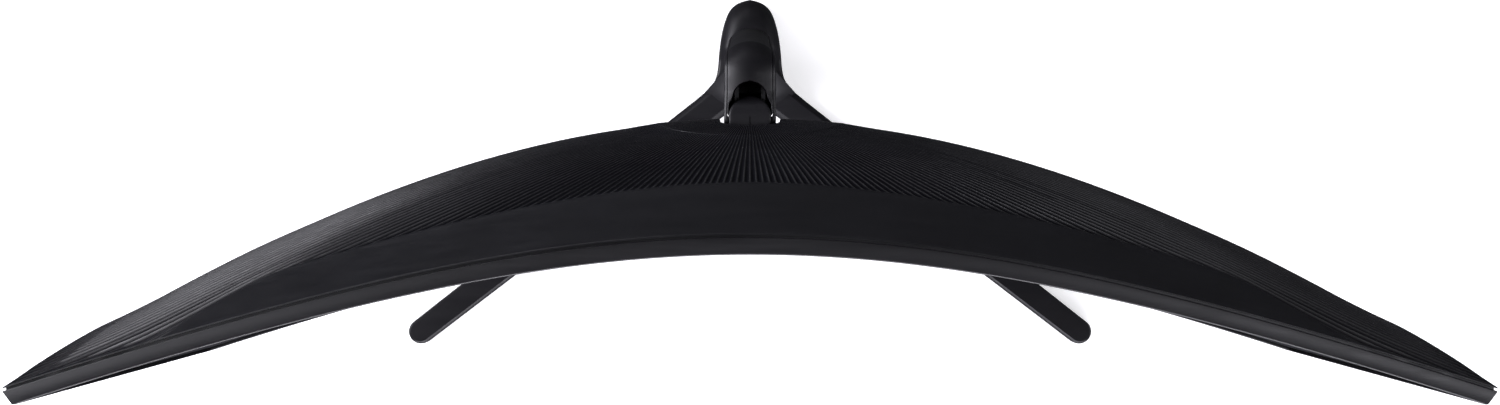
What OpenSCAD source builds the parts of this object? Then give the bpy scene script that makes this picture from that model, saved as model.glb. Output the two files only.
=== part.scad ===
// Curved 34 inch desktop monitor on a V-legged tilt stand.
// Millimetres. +Z up, the screen faces -Y. Origin: centre of the bounding box, at the desk.

/* [Screen head] */
// Height of the head, bottom edge to top edge
head_h = 362.5; // [340:0.5:380]
// Height of the head's bottom edge above the desk
head_lift = 112.7; // [100:0.5:130]
// Y of the front edge on the centre line
front_y = -52.6; // [-56:0.2:-50]
// Half width of the head at its front corners
front_half_w = 397.6; // [390:0.2:400]
// Bend of the screen: depth of the hyperbola that the front edge follows
bend_a = 108.6; // [90:0.2:130]
// Bend of the screen: slope that the front edge tends to at its ends
bend_b = 0.391; // [0.3:0.001:0.45]

/* [Rear cover] */
// Wall of the rear cover
wall = 2.5; // [2:0.1:3]
// Depth behind the front edge curve at the middle of the back
back_depth = 82; // [78:0.5:84]
// Depth behind the front edge curve at the middle of each end
end_depth = 34; // [30:0.5:38]
// Height of the smooth band above the crease, on the centre line
band_h = 38; // [30:1:42]

/* [Mount] */
// Tapping radius of the mount's M4 holes
mount_hole_r = 1.65; // [1.6:0.05:1.7]

/* [Stand] */
// Radius of the tilt shaft
shaft_r = 4; // [3.5:0.1:4.5]
// Radial clearance of the shaft in the tongue
shaft_gap = 0.05; // [0.03:0.01:0.1]
// Y of the tilt axis
pivot_y = 30; // [29:0.2:31]
// Forward lean of the column, in degrees
column_lean = 7.5; // [7:0.1:8]
// Width of the column
column_w = 33; // [32:0.5:34]
// Height of the base's top face above the desk
base_top = 14; // [13:0.5:15]

/* [Hidden] */
$fn = 48;
mount_pitch = 75;
head_bottom = head_lift;
head_top = head_lift + head_h;
mid_z = head_lift + head_h / 2;
frame_depth = 9.4;
end_slant = 0.606;
cover_start = 10.8;
rim_depth = 11.5;
cover_half_w = front_half_w + end_slant * frame_depth;
cols = 44;
bend_steps = 56;
pivot_z = 294;
eps = 0.01;

// Depths of the layers behind the front edge curve: [front, rear]
cell_d = [2.4, 3.8];
sheets_d = [4.1, 4.9];
guide_d = [5.1, 7.1];
reflector_d = [7.3, 7.6];
mid_d = [4.0, 7.7];
tray_d = [7.9, 8.9];
source_d = [9.2, 10.4];

// Corner screws of the rear cover: [x, z]
cover_screw_at = [[-372, 150], [372, 150], [-372, 438], [372, 438], [-205, 137], [205, 137]];
screw_hole_r = 1.6;
screw_shank_r = 1.45;
screw_head_r = 2.9;
screw_head_h = 2;

// Joystick on the lower right of the back
stick_x = 300;
stick_z = 142;
stick_turn = -18;

// Ports face down into a pocket in the back
pocket_half_w = 62;
pocket_z = [100, 176];
pocket_y = -35.5;
port_z = 176;
board_y = -33;
board_t = 1.6;

// ---------- shared shapes ----------

// Y of the front edge curve at x
function bend_y(x) = front_y + bend_a - sqrt(bend_a * bend_a + pow(bend_b * x, 2));

// Slope of the front edge curve at x, as an angle
function bend_angle(x) =
    -atan(bend_b * bend_b * x / sqrt(bend_a * bend_a + pow(bend_b * x, 2)));

// Depth d behind the curve, measured square to it at x
function square_depth(x, d) = d * cos(bend_angle(x));

// Half width of the head's outline at a depth behind the front edge curve
function end_x(d) = front_half_w + end_slant * min(d, frame_depth);

// One offset of the front edge curve, from -half to +half, or back again
function bend_row(d, half, dir) =
    [for (i = [0:bend_steps]) let (x = dir * half * (2 * i / bend_steps - 1)) [x, bend_y(x) + d]];

// Plan of a curved layer between two depths, its ends drawn in by inset
module bend_plan(d, inset) {
    polygon(concat(bend_row(d[0], end_x(d[0]) - inset, 1), bend_row(d[1], end_x(d[1]) - inset, -1)));
}

// A curved layer between two heights
module bend_layer(d, inset, z) {
    translate([0, 0, z[0]])
        linear_extrude(z[1] - z[0])
            bend_plan(d, inset);
}

// Moves children from the local frame of the curve at x to the head: local Y is depth behind it
module on_bend(x) {
    translate([x, bend_y(x), 0])
        rotate([0, 0, bend_angle(x)])
            children();
}

// A cylinder along +Y that starts at y
module rod_y(r, y, length) {
    translate([0, y, 0])
        rotate([-90, 0, 0])
            cylinder(r = r, h = length);
}

// A cylinder along X, centred on x = 0
module rod_x(r, length) {
    rotate([0, 90, 0])
        cylinder(r = r, h = length, center = true);
}

// A box with rounded corners seen along Y
module pad_y(w, h, y, t, r) {
    translate([0, y + t, 0])
        rotate([90, 0, 0])
            linear_extrude(t)
                round_rect(w, h, r);
}

// A rectangle with round corners
module round_rect(w, h, r) {
    square([w - 2 * r, h], center = true);
    square([w, h - 2 * r], center = true);
    for (sx = [-1, 1], sy = [-1, 1])
        translate([sx * (w / 2 - r), sy * (h / 2 - r)])
            circle(r);
}

// ---------- rear cover surface ----------

crease_end = 278;
band_end = 315.4;

// Height of the crease below the top edge at x
function crease_drop(x) =
    let (a = abs(x))
    a < crease_end ? band_h - 8 * a / crease_end
    : a < band_end ? (band_h - 8) * (band_end - a) / (band_end - crease_end)
    : 0;

// Depth of the crease at x
function crease_depth(x) =
    let (a = abs(x))
    a < crease_end ? 39.8 - 9.6 * pow(a / crease_end, 1.3)
    : a < band_end ? rim_depth + (30.2 - rim_depth) * (band_end - a) / (band_end - crease_end)
    : rim_depth;

// Depth of the back at mid height at x
function mid_depth(x) = back_depth - (back_depth - end_depth) * pow(min(1, abs(x) / cover_half_w), 2.3);

// Share of the rise from mid height to the crease, 0 at mid height and 1 at the crease
function back_fall(u) = 0.75 * (sqrt(u * u + 0.0144) - 0.12) / 0.8872 + 0.25 * u * u;

// Depth of the outer surface at x and at a height
function back_d(x, z) =
    let (
        drop = head_h / 2 - abs(z - mid_z),
        cd = crease_drop(x),
        reach = head_h / 2 - cd
    )
    drop < cd
        ? rim_depth + (crease_depth(x) - rim_depth) * drop / cd
        : mid_depth(x) - (mid_depth(x) - crease_depth(x)) * back_fall((head_h / 2 - drop) / reach);

// Y of the outer surface at x and at a height
function back_y(x, z) = bend_y(x) + back_d(x, z);

// Heights of the grid rows at x: crease rows stay on the crease
function row_z(x, k) =
    let (cd = max(0.6, crease_drop(x)), h = head_h / 2)
    k <= 2 ? head_top - cd * k / 2
    : k <= 12 ? head_top - cd - (h - cd) * (k - 2) / 10
    : mid_z - (row_z(x, 24 - k) - mid_z);

// Solid under the outer surface, drawn in by t on every wall but the open front
module cover_body(t) {
    half = cover_half_w - t;
    front = cover_start - (t > 0 ? 1 : 0);
    xs = [for (i = [0:cols]) half * (2 * i / cols - 1)];
    squash = (head_h - 2 * t) / head_h;
    rows = 24;
    front_pts = [for (x = xs, k = [0:rows])
        [x, bend_y(x) + front, mid_z + (row_z(x, k) - mid_z) * squash]];
    back_pts = [for (x = xs, k = [0:rows])
        [x, bend_y(x) + max(back_d(x, row_z(x, k)) - t, cover_start + 0.2), mid_z + (row_z(x, k) - mid_z) * squash]];
    n = rows + 1;
    m = (cols + 1) * n;
    function at(i, k) = i * n + k;
    front_faces = [for (i = [0:cols - 1], k = [0:rows - 1])
        each [[at(i, k), at(i + 1, k), at(i, k + 1)], [at(i + 1, k), at(i + 1, k + 1), at(i, k + 1)]]];
    back_faces = [for (i = [0:cols - 1], k = [0:rows - 1])
        each [[m + at(i, k), m + at(i, k + 1), m + at(i + 1, k)],
              [m + at(i + 1, k), m + at(i, k + 1), m + at(i + 1, k + 1)]]];
    top_faces = [for (i = [0:cols - 1])
        each [[at(i, 0), m + at(i, 0), at(i + 1, 0)], [at(i + 1, 0), m + at(i, 0), m + at(i + 1, 0)]]];
    bottom_faces = [for (i = [0:cols - 1])
        each [[at(i, rows), at(i + 1, rows), m + at(i, rows)],
              [at(i + 1, rows), m + at(i + 1, rows), m + at(i, rows)]]];
    left_faces = [for (k = [0:rows - 1])
        each [[at(0, k), at(0, k + 1), m + at(0, k)], [m + at(0, k), at(0, k + 1), m + at(0, k + 1)]]];
    right_faces = [for (k = [0:rows - 1])
        each [[at(cols, k), m + at(cols, k), at(cols, k + 1)],
              [m + at(cols, k), m + at(cols, k + 1), at(cols, k + 1)]]];
    polyhedron(
        points = concat(front_pts, back_pts),
        faces = concat(front_faces, back_faces, top_faces, bottom_faces, left_faces, right_faces)
    );
}

// ---------- screen module ----------

// Frame: side walls all round, a narrow lip in front and a deeper chin
module front_frame() {
    color([0.11, 0.11, 0.13])
        difference() {
            bend_layer([0, frame_depth], 0, [head_bottom, head_top]);
            bend_layer([-5, 2.2], 5, [head_bottom + 18, head_top - 4]);
            bend_layer([2.2, 12], 2.2, [head_bottom + 2.3, head_top - 2.2]);
            on_bend(lens_x)
                translate([-3.2, 3.8, head_bottom - 1])
                    cube([6.4, 2.4, 4]);
        }
}

// Glass cell, held behind the lip
module lcd_cell() {
    color([0.03, 0.03, 0.04])
        bend_layer(cell_d, 3.2, [head_bottom + 12, head_top - 3]);
}

// Diffuser and prism films
module optical_sheets() {
    color([0.93, 0.93, 0.95])
        bend_layer(sheets_d, 7.6, [head_bottom + 20, head_top - 7]);
}

// Clear plate that spreads the light of the LED bar
module light_guide() {
    color([0.85, 0.93, 0.95])
        bend_layer(guide_d, 7.6, [head_bottom + 25, head_top - 7]);
}

// White film behind the light guide
module reflector_sheet() {
    color([0.97, 0.97, 0.97])
        bend_layer(reflector_d, 7.6, [head_bottom + 20, head_top - 7]);
}

// Plastic ring that holds the films and the light guide
module mid_frame() {
    color([0.09, 0.09, 0.1])
        difference() {
            bend_layer(mid_d, 3.2, [head_bottom + 4, head_top - 3]);
            bend_layer([3, 9], 7.2, [head_bottom + 18, head_top - 6.6]);
        }
}

// Sheet-metal back of the screen module
module backlight_tray() {
    color([0.72, 0.73, 0.75])
        difference() {
            bend_layer(tray_d, 4, [head_bottom + 4, head_top - 4]);
            for (p = cover_screw_at)
                translate([0, 0, p[1]])
                    translate([p[0], 0, 0])
                        rod_y(screw_hole_r, bend_y(p[0]), 20);
        }
}

led_pitch = 14.2;
led_half_count = 27;

// Strip of light-emitting diodes under the light guide
module led_bar() {
    color([0.9, 0.9, 0.86]) {
        bend_layer([5.1, 7.1], 8.4, [head_bottom + 19, head_bottom + 20.2]);
        for (i = [-led_half_count:led_half_count])
            on_bend(i * led_pitch)
                translate([-1.5, square_depth(i * led_pitch, 5.4), head_bottom + 20])
                    cube([3, 1.3, 3.8]);
    }
}

// Driver board along the lower edge of the tray
module source_board() {
    color([0.05, 0.32, 0.16]) {
        bend_layer(source_d, 120, [head_bottom + 9, head_bottom + 21]);
        for (i = [-5:5])
            on_bend(i * 44)
                translate([-8, square_depth(i * 44, source_d[1]) - 0.15, head_bottom + 13])
                    cube([16, 1, 3]);
    }
}

// Timing board on the tray, above the mount
module timing_board() {
    color([0.05, 0.32, 0.16])
        translate([0, -41.5, 388]) {
            translate([-55, 0, -21])
                cube([110, board_t, 42]);
            translate([-12, board_t - eps, -9])
                cube([18, 1.4, 18]);
            translate([20, board_t - eps, -6])
                cube([10, 1.2, 10]);
            translate([-15, board_t - eps, -20])
                cube([30, 2.6, 5]);
        }
}

// Flat cable from the main board up to the timing board, beside the bracket
module flat_cable() {
    color([0.85, 0.85, 0.82]) {
        translate([-54, -37.9, 216])
            cube([10, 0.3, 150]);
        translate([-54, -39.5, 366])
            cube([10, 1.9, 0.3]);
    }
}

// Main board, parallel to the screen under the bracket, with its chips and their heat sink
module main_board() {
    color([0.04, 0.28, 0.14]) {
        translate([-100, board_y, 180])
            cube([200, board_t, 54]);
        translate([-20, board_y + board_t - eps, 206])
            cube([24, 2.2, 24]);
        for (i = [0:5])
            translate([-20 + 4 * i, board_y + board_t + 2.1, 206])
                cube([2, 9, 24]);
        for (i = [0:3])
            translate([62 + 9 * i, board_y + board_t - eps, 218])
                rod_y(3.8, 0, 12);
        translate([20, board_y + board_t - eps, 208])
            cube([12, 1.2, 16]);
    }
}

shield_x = 104;
shield_y = [-34.9, -17.5];
shield_z = [179, 236];
shield_t = 0.8;

// Folded sheet-metal box over the main board, open below where the sockets leave
module board_shield() {
    color([0.75, 0.76, 0.78])
        difference() {
            translate([-shield_x, shield_y[0], shield_z[0]])
                cube([2 * shield_x, shield_y[1] - shield_y[0], shield_z[1] - shield_z[0]]);
            translate([-shield_x + shield_t, shield_y[0] - 1, shield_z[0] - 1])
                cube([
                    2 * (shield_x - shield_t),
                    shield_y[1] - shield_y[0] + 1 - shield_t,
                    shield_z[1] - shield_z[0] + 1 - shield_t
                ]);
            for (i = [-9:9], j = [0:1])
                translate([8 * i - 2.5, shield_y[1] - 2, 214 + 8 * j])
                    cube([5, 4, 3]);
        }
}

board_screw_at = [[-94, 186], [94, 186], [-94, 229], [94, 229]];

// Screws that hold the main board
module board_screws() {
    color([0.7, 0.7, 0.72])
        for (p = board_screw_at)
            translate([p[0], 0, p[1]])
                rod_y(2.6, board_y + board_t + 0.05, 1.8);
}

// ---------- sockets ----------

// Metal shell of a socket whose mouth faces down
module socket_shell(x, w, d, h, t) {
    translate([x - w / 2, board_y + board_t + 0.1, port_z + 1.2])
        difference() {
            cube([w, d, h]);
            translate([t, t, -1])
                cube([w - 2 * t, d - 2 * t, h - t + 1]);
        }
}

// Contact tongue inside a socket
module socket_tongue(x, w, d, h, t) {
    translate([x - w / 2, board_y + board_t + 0.1 + d, port_z + 2.2])
        cube([w, t, h]);
}

// Display socket
module display_port() {
    color([0.78, 0.78, 0.8]) {
        socket_shell(-46, 16.9, 6.2, 14, 0.6);
        socket_tongue(-46, 12, 3.6, 11.5, 1);
    }
}

// Video socket
module video_port() {
    color([0.8, 0.8, 0.82]) {
        socket_shell(-16, 15.2, 5.9, 12, 0.6);
        socket_tongue(-16, 11, 3.4, 9.5, 1);
    }
}

jack_y = -27;
block_z = port_z + 2.15;

// Audio jack, a 3.5 mm bore in a plastic block with a round nose
module audio_jack() {
    color([0.06, 0.06, 0.07])
        difference() {
            union() {
                translate([9, board_y + board_t + 0.1, block_z])
                    cube([10, 8.6, 12]);
                translate([14, jack_y, port_z + 0.4])
                    cylinder(r = 3.9, h = 3);
            }
            translate([14, jack_y, port_z])
                cylinder(r = 1.8, h = 12);
        }
}

// DC inlet with its centre pin
module dc_inlet() {
    color([0.06, 0.06, 0.07]) {
        difference() {
            union() {
                translate([38, board_y + board_t + 0.1, block_z])
                    cube([11, 10, 13]);
                translate([43.5, jack_y + 0.9, port_z + 0.4])
                    cylinder(r = 4.5, h = 3);
            }
            translate([43.5, jack_y + 0.9, port_z])
                cylinder(r = 3.2, h = 11.5);
        }
        translate([43.5, jack_y + 0.9, port_z + 2.5])
            cylinder(r = 0.8, h = 9.2);
    }
}

// ---------- mount bracket and rear cover ----------

bracket_half = 56;
arm_pitch = 50;
bracket_y = 6;
plate_t = 2.5;
tray_back_y = -43.5;

// Corners of a square round the tilt axis, as children moved along X and Z
module at_corners(pitch) {
    for (sx = [-1, 1], sz = [-1, 1])
        translate([sx * pitch / 2, 0, pivot_z + sz * pitch / 2])
            children();
}

// Steel bracket: a plate on two side walls with feet. The outer four threaded holes are the
// standard mount, and the inner four hold the arm plate
module mount_bracket() {
    color([0.66, 0.67, 0.69])
        difference() {
            union() {
                translate([0, 0, pivot_z])
                    pad_y(2 * bracket_half, 2 * bracket_half, bracket_y, plate_t, 6);
                for (s = [-1, 1])
                    translate([s * (bracket_half - 1), (tray_back_y + bracket_y + plate_t) / 2, pivot_z])
                        cube([2, bracket_y + plate_t - tray_back_y - 0.4, 96], center = true);
                for (s = [-1, 1], z = [-42, 42])
                    translate([s * (bracket_half + 6), -42.5, pivot_z + z])
                        cube([14, 1.6, 12], center = true);
                at_corners(mount_pitch)
                    rod_y(4, bracket_y - 3, 4);
                at_corners(arm_pitch)
                    rod_y(4, bracket_y - 3, 4);
            }
            at_corners(mount_pitch)
                rod_y(mount_hole_r, bracket_y - 10, 20);
            at_corners(arm_pitch)
                rod_y(mount_hole_r, bracket_y - 10, 20);
            translate([0, 0, pivot_z])
                rod_y(14, bracket_y - 10, 20);
        }
}

opening_r = 60;
boss_r = 4.6;
lock_x = -124;
lock_z = 186;
lens_x = 330;

// Tubes inside the cover that carry its screws
module cover_bosses() {
    for (p = cover_screw_at)
        translate([p[0], 0, p[1]])
            rod_y(boss_r, bend_y(p[0]) + tray_d[1] + 1.2, 60);
}

// Walls of the pocket that the sockets open into
module pocket_walls() {
    translate([-pocket_half_w - 2, pocket_y - 2, pocket_z[0] - 2])
        cube([2 * pocket_half_w + 4, 90, pocket_z[1] - pocket_z[0] + 4]);
}

// The pocket itself, open to the rear
module pocket_room() {
    translate([-pocket_half_w, pocket_y, pocket_z[0]])
        cube([2 * pocket_half_w, 120, pocket_z[1] - pocket_z[0]]);
}

// Cut-outs for the sockets in the pocket's ceiling
module port_cutouts() {
    translate([-55, board_y + board_t - 0.4, port_z - 1])
        cube([18, 7.2, 6]);
    translate([-24, board_y + board_t - 0.4, port_z - 1])
        cube([16, 6.9, 6]);
    translate([14, jack_y, port_z - 1])
        cylinder(r = 4.2, h = 6);
    translate([43.5, jack_y + 0.9, port_z - 1])
        cylinder(r = 4.8, h = 6);
}

// Back shell of the head
module rear_cover() {
    color([0.1, 0.1, 0.12])
        difference() {
            cover_body(0);
            difference() {
                cover_body(wall);
                cover_bosses();
                pocket_walls();
            }
            pocket_room();
            port_cutouts();
            translate([0, 0, pivot_z])
                rod_y(opening_r, -10, 80);
            for (p = cover_screw_at)
                translate([p[0], 0, p[1]]) {
                    rod_y(screw_hole_r, bend_y(p[0]), 60);
                    rod_y(screw_head_r + 0.6, back_y(p[0], p[1]) - 6, 30);
                }
            translate([lock_x, 0, lock_z])
                pad_y(7.4, 3.4, 0, 60, 1.2);
            on_stick()
                rod_y(stick_recess_r, 16.5, 30);
        }
}

// Screws of the rear cover
module cover_screws() {
    color([0.2, 0.2, 0.21])
        for (p = cover_screw_at)
            translate([p[0], 0, p[1]])
                cover_screw(back_y(p[0], p[1]) - 6, bend_y(p[0]) + tray_d[0] + 0.7);
}

// One screw along Y: its head seats at seat_y and its shank ends at tip_y
module cover_screw(seat_y, tip_y) {
    difference() {
        rod_y(screw_head_r, seat_y + 0.05, screw_head_h);
        for (a = [0, 90])
            translate([0, seat_y + screw_head_h, 0])
                rotate([0, a, 0])
                    cube([3.2, 1.8, 0.8], center = true);
    }
    rod_y(screw_shank_r, tip_y, seat_y + 0.1 - tip_y);
}

// Steel plate behind the cable-lock slot
module lock_plate() {
    color([0.7, 0.7, 0.72])
        translate([lock_x, 0, lock_z])
            difference() {
                pad_y(16, 12, back_y(lock_x, lock_z) - wall - 6, 1.2, 1.5);
                pad_y(7.2, 3.2, 0, 60, 1.1);
            }
}

// Clear light pipe of the power light, in the chin's lower edge
module power_lens() {
    color([0.9, 0.9, 0.92])
        on_bend(lens_x)
            translate([-3, 4, head_bottom + 0.2])
                cube([6, 2, 3]);
}

// ---------- joystick ----------

stick_recess_r = 9.5;
stick_y = 13;

// Children move from the joystick's own frame, whose +Y leaves the back, to the head
module on_stick() {
    translate([stick_x, bend_y(stick_x), stick_z])
        rotate([0, 0, stick_turn])
            children();
}

// Small board with the switch housing
module joystick_switch() {
    color([0.05, 0.3, 0.15])
        on_stick()
            translate([0, stick_y, 0]) {
                difference() {
                    union() {
                        translate([-10, -1.2, -9])
                            cube([20, 1.2, 18]);
                        translate([-5.5, -eps, -5.5])
                            cube([11, 4, 11]);
                    }
                    translate([-4.2, 0.6, -4.2])
                        cube([8.4, 6, 8.4]);
                }
            }
}

// Ring that tips left and right in the housing
module joystick_yoke() {
    color([0.85, 0.85, 0.85])
        on_stick()
            translate([0, stick_y + 2.4, 0])
                difference() {
                    union() {
                        translate([-3.2, -0.6, -3.2])
                            cube([6.4, 1.2, 6.4]);
                        translate([0, 0, -4])
                            cylinder(r = 0.5, h = 8);
                    }
                    rod_y(2.3, -3, 6);
                }
}

// Lever that tips up and down in the ring
module joystick_lever() {
    color([0.8, 0.8, 0.78])
        on_stick()
            translate([0, stick_y + 2.4, 0]) {
                rod_y(1.9, -0.7, 1.4);
                rod_y(1.2, 0, 6);
                rod_x(0.5, 4.4);
            }
}

// Cap that the finger pushes
module joystick_cap() {
    color([0.12, 0.12, 0.14])
        on_stick()
            translate([0, stick_y + 2.4, 0])
                difference() {
                    union() {
                        rod_y(4.2, 4.2, 5);
                        rod_y(6.2, 6.4, 5.4);
                    }
                    rod_y(1.3, 3, 3.9);
                }
}

// ---------- neck and hinge ----------

tongue_half = 5.2;
tongue_r = 9;
arm_y = bracket_y + plate_t;
arm_t = 3;

// Steel plate bolted to the bracket, with the tongue that turns on the shaft
module arm_plate() {
    color([0.6, 0.61, 0.63])
        difference() {
            union() {
                translate([0, 0, pivot_z])
                    pad_y(62, 62, arm_y, arm_t, 7);
                translate([-tongue_half, arm_y + 0.5, pivot_z - tongue_r])
                    cube([2 * tongue_half, pivot_y - arm_y - 0.5, 2 * tongue_r]);
                translate([0, pivot_y, pivot_z])
                    rod_x(tongue_r, 2 * tongue_half);
            }
            at_corners(arm_pitch)
                rod_y(2.25, arm_y - 5, 12);
            translate([0, pivot_y, pivot_z])
                rod_x(shaft_r + shaft_gap, 40);
        }
}

// Four M4 screws through the arm plate
module arm_screws() {
    color([0.22, 0.22, 0.23])
        at_corners(arm_pitch) {
            difference() {
                rod_y(3.8, arm_y + arm_t + 0.05, 2.4);
                for (a = [0, 90])
                    translate([0, arm_y + arm_t + 2.4, 0])
                        rotate([0, a, 0])
                            cube([4.2, 2, 1], center = true);
            }
            rod_y(mount_hole_r - 0.03, bracket_y - 3.5, arm_y + arm_t + 0.1 - bracket_y + 3.5);
        }
}

slot_w = 38;
slot_h = 66;
slot_wall = 1.8;

// Cap that closes the opening round the neck, flush with the back
module mount_cap() {
    color([0.09, 0.09, 0.1])
        difference() {
            intersection() {
                cover_body(0);
                translate([0, 0, pivot_z])
                    rod_y(opening_r - 0.4, 0, 60);
            }
            difference() {
                cover_body(wall);
                translate([0, 0, pivot_z])
                    pad_y(slot_w + 2 * slot_wall, slot_h + 2 * slot_wall, arm_y + arm_t + 0.2, 30, 19.8);
            }
            translate([0, 0, pivot_z])
                pad_y(slot_w, slot_h, 0, 60, 18);
        }
}

neck_r = 13.2;
neck_wall = 1.4;

// Neck shell: a round-ended hood over the tongue, open behind and below for the ears
module neck_shell() {
    color([0.13, 0.13, 0.15])
        difference() {
            neck_body(0);
            neck_body(neck_wall);
            translate([-neck_r - 1, pivot_y - 9, pivot_z - neck_r - 1])
                cube([2 * neck_r + 2, neck_r + 12, neck_r + 7]);
        }
}

// Solid of the neck, drawn in by t
module neck_body(t) {
    r = neck_r - t;
    foot_y = arm_y + arm_t + (t > 0 ? -1 : 0.1);
    intersection() {
        union() {
            translate([0, pivot_y, pivot_z])
                rod_x(r, 2 * r);
            translate([-r, foot_y, pivot_z - r])
                cube([2 * r, pivot_y - foot_y, 2 * r]);
        }
        union() {
            translate([0, pivot_y, pivot_z - 20])
                cylinder(r = r, h = 40);
            translate([-r, foot_y, pivot_z - 20])
                cube([2 * r, pivot_y - foot_y, 40]);
        }
    }
}

ear_in = 7.2;
ear_t = 2.6;
ear_r = 8;
head_block = [[54.5, 262], [66, 284]];

// Steel head of the column: two ears round the shaft, and the block that joins them
module column_head() {
    color([0.5, 0.51, 0.53])
        difference() {
            union() {
                for (s = [-1, 1])
                    translate([s * (ear_in + ear_t / 2), 0, 0]) {
                        translate([0, pivot_y, pivot_z])
                            rod_x(ear_r, ear_t);
                        translate([-ear_t / 2, pivot_y, pivot_z - ear_r])
                            cube([ear_t, head_block[1][0] - pivot_y, ear_r]);
                    }
                translate([-ear_in - ear_t, head_block[0][0], head_block[0][1]])
                    cube([
                        2 * (ear_in + ear_t),
                        head_block[1][0] - head_block[0][0],
                        pivot_z - head_block[0][1]
                    ]);
            }
            translate([0, pivot_y, pivot_z])
                rod_x(shaft_r + shaft_gap, 40);
        }
}

shaft_half = 11.4;

// Shaft through the ears and the tongue, with a round head on one end
module hinge_shaft() {
    color([0.7, 0.7, 0.72])
        translate([0, pivot_y, pivot_z]) {
            rod_x(shaft_r, 2 * shaft_half);
            translate([-shaft_half + 0.6, 0, 0])
                rod_x(5.4, 1.2);
        }
}

// Spring washers between each ear and the tongue
module friction_washers() {
    color([0.55, 0.5, 0.4])
        for (s = [-1, 1], i = [0:1])
            translate([s * (tongue_half + 0.45 + 0.95 * i), pivot_y, pivot_z])
                difference() {
                    rod_x(7, 0.75);
                    rod_x(shaft_r + 0.1, 4);
                }
}

// Nut that sets the friction
module shaft_nut() {
    color([0.6, 0.6, 0.62])
        translate([shaft_half - 0.65, pivot_y, pivot_z])
            difference() {
                rotate([0, 90, 0])
                    cylinder(r = 6, h = 1.3, center = true, $fn = 6);
                rod_x(shaft_r + 0.05, 10);
            }
}

// ---------- column ----------

column_top = [64, 275];
foot_z = base_top + 0.2;
foot_y = column_top[0] + (column_top[1] - foot_z) * tan(column_lean);
column_wall = 2.2;
cheek_r = 13;
cap_z = 309;
notch_half = 13.9;
notch_r = 11.2;
notch_y = 41.1;
notch_floor = 277;
rear_panel_half = 14.2;

// Points on an arc in the YZ plane
function arc_yz(c, r, a0, a1, n) =
    [for (i = [0:n]) let (a = a0 + (a1 - a0) * i / n) [c[0] + r * cos(a), c[1] + r * sin(a)]];

// Side view of the column, drawn in by t
function column_side(t) = concat(
    [[foot_y + 20 - t, foot_z - (t > 0 ? 1 : 0)]],
    arc_yz([column_top[0] - 6, cap_z - 22], 22 - t, -8, 84, 9),
    arc_yz([pivot_y, pivot_z], cheek_r - t, 88, 272, 14),
    [[column_top[0] - 22 + t, pivot_z - cheek_r + t]],
    [[column_top[0] - 15 + t, column_top[1] - 14 + t / 2]],
    [[foot_y - 16.5 + t, foot_z - (t > 0 ? 1 : 0)]]
);

// Solid of the column, drawn in by t: its side view, rounded behind
module column_body(t) {
    half = column_w / 2 - t;
    intersection() {
        rotate([90, 0, 90])
            translate([0, 0, -half])
                linear_extrude(2 * half)
                    polygon(column_side(t));
        translate([0, foot_y, foot_z - 20])
            rotate([column_lean, 0, 0])
                linear_extrude(400)
                    union() {
                        translate([-30, -140])
                            square([60, 144]);
                        translate([0, -3.5])
                            circle(r = 19.5 - t, $fn = 96);
                    }
    }
}

// The notch in the column's top that the neck turns in, grown by g
module notch(g) {
    translate([0, notch_y, notch_floor - g])
        cylinder(r = notch_r + g, h = 60);
    translate([-notch_half - (g > 0 ? g : 0), pivot_y - 30, notch_floor - g - 8])
        cube([2 * (notch_half + g), notch_y - pivot_y + 30, 60]);
}

// Wall of the column all round, with the notch walled in and slots for the ears
module column_shell() {
    difference() {
        column_body(0);
        difference() {
            column_body(column_wall);
            notch(1.6);
        }
        notch(0);
        for (s = [-1, 1])
            translate([s * (ear_in + ear_t / 2) - ear_t / 2 - 0.3, pivot_y, pivot_z - ear_r - 0.3])
                cube([ear_t + 0.6, 30, ear_r + 0.6]);
        translate([-ear_in - ear_t - 0.3, head_block[0][0] - 0.3, head_block[0][1]])
            cube([2 * (ear_in + ear_t + 0.3), 20, pivot_z + 0.3 - head_block[0][1]]);
    }
}

// Y of the column's middle line at a height, moved back by g
function column_y(z, g) = foot_y - (z - foot_z) * tan(column_lean) + g / cos(column_lean);

// Where the rear panel lies: behind the column's middle and over its top
module rear_panel_zone(half) {
    panel_z = cap_z - 9;
    rotate([90, 0, 90])
        translate([0, 0, -half])
            linear_extrude(2 * half)
                polygon([
                    [column_y(0, 1.5), 0], [column_y(panel_z, 1.5), panel_z], [0, panel_z],
                    [0, cap_z + 20], [160, cap_z + 20], [160, 0]
                ]);
}

// Front cover: a channel with the two cheeks beside the neck
module column_front_cover() {
    color([0.1, 0.1, 0.11])
        difference() {
            column_shell();
            rear_panel_zone(rear_panel_half + 0.25);
        }
}

// Rear panel of the column, set between the front cover's sides
module column_rear_cover() {
    color([0.12, 0.12, 0.13])
        intersection() {
            column_shell();
            rear_panel_zone(rear_panel_half);
        }
}

core_half = 9;
foot_block = 16;
core_depth = 12;
screw_r = 2.5;

// Steel bar of the column, from the base to the column's head
module column_core() {
    color([0.42, 0.43, 0.45])
        difference() {
            union() {
                translate([0, foot_y, foot_z])
                    rotate([column_lean, 0, 0])
                        translate([-core_half, -core_depth / 2, 6])
                            cube([2 * core_half, core_depth, 246]);
                translate([-foot_block / 2, foot_y - foot_block / 2, core_z[1]])
                    cube([foot_block, foot_block, foot_z + 8 - core_z[1]]);
            }
            translate([-20, 40, head_block[0][1] - 0.2])
                cube([40, 60, 60]);
            translate([0, foot_y, 0])
                cylinder(r = screw_r + 0.05, h = 20);
        }
}

// ---------- base ----------

core_z = [6, 9.6];
base_bottom = 2;
tip = [261, -126.6];
tip_r = 9.65;
root_half = 11.9;
leg_slope = 0.775;

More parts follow.
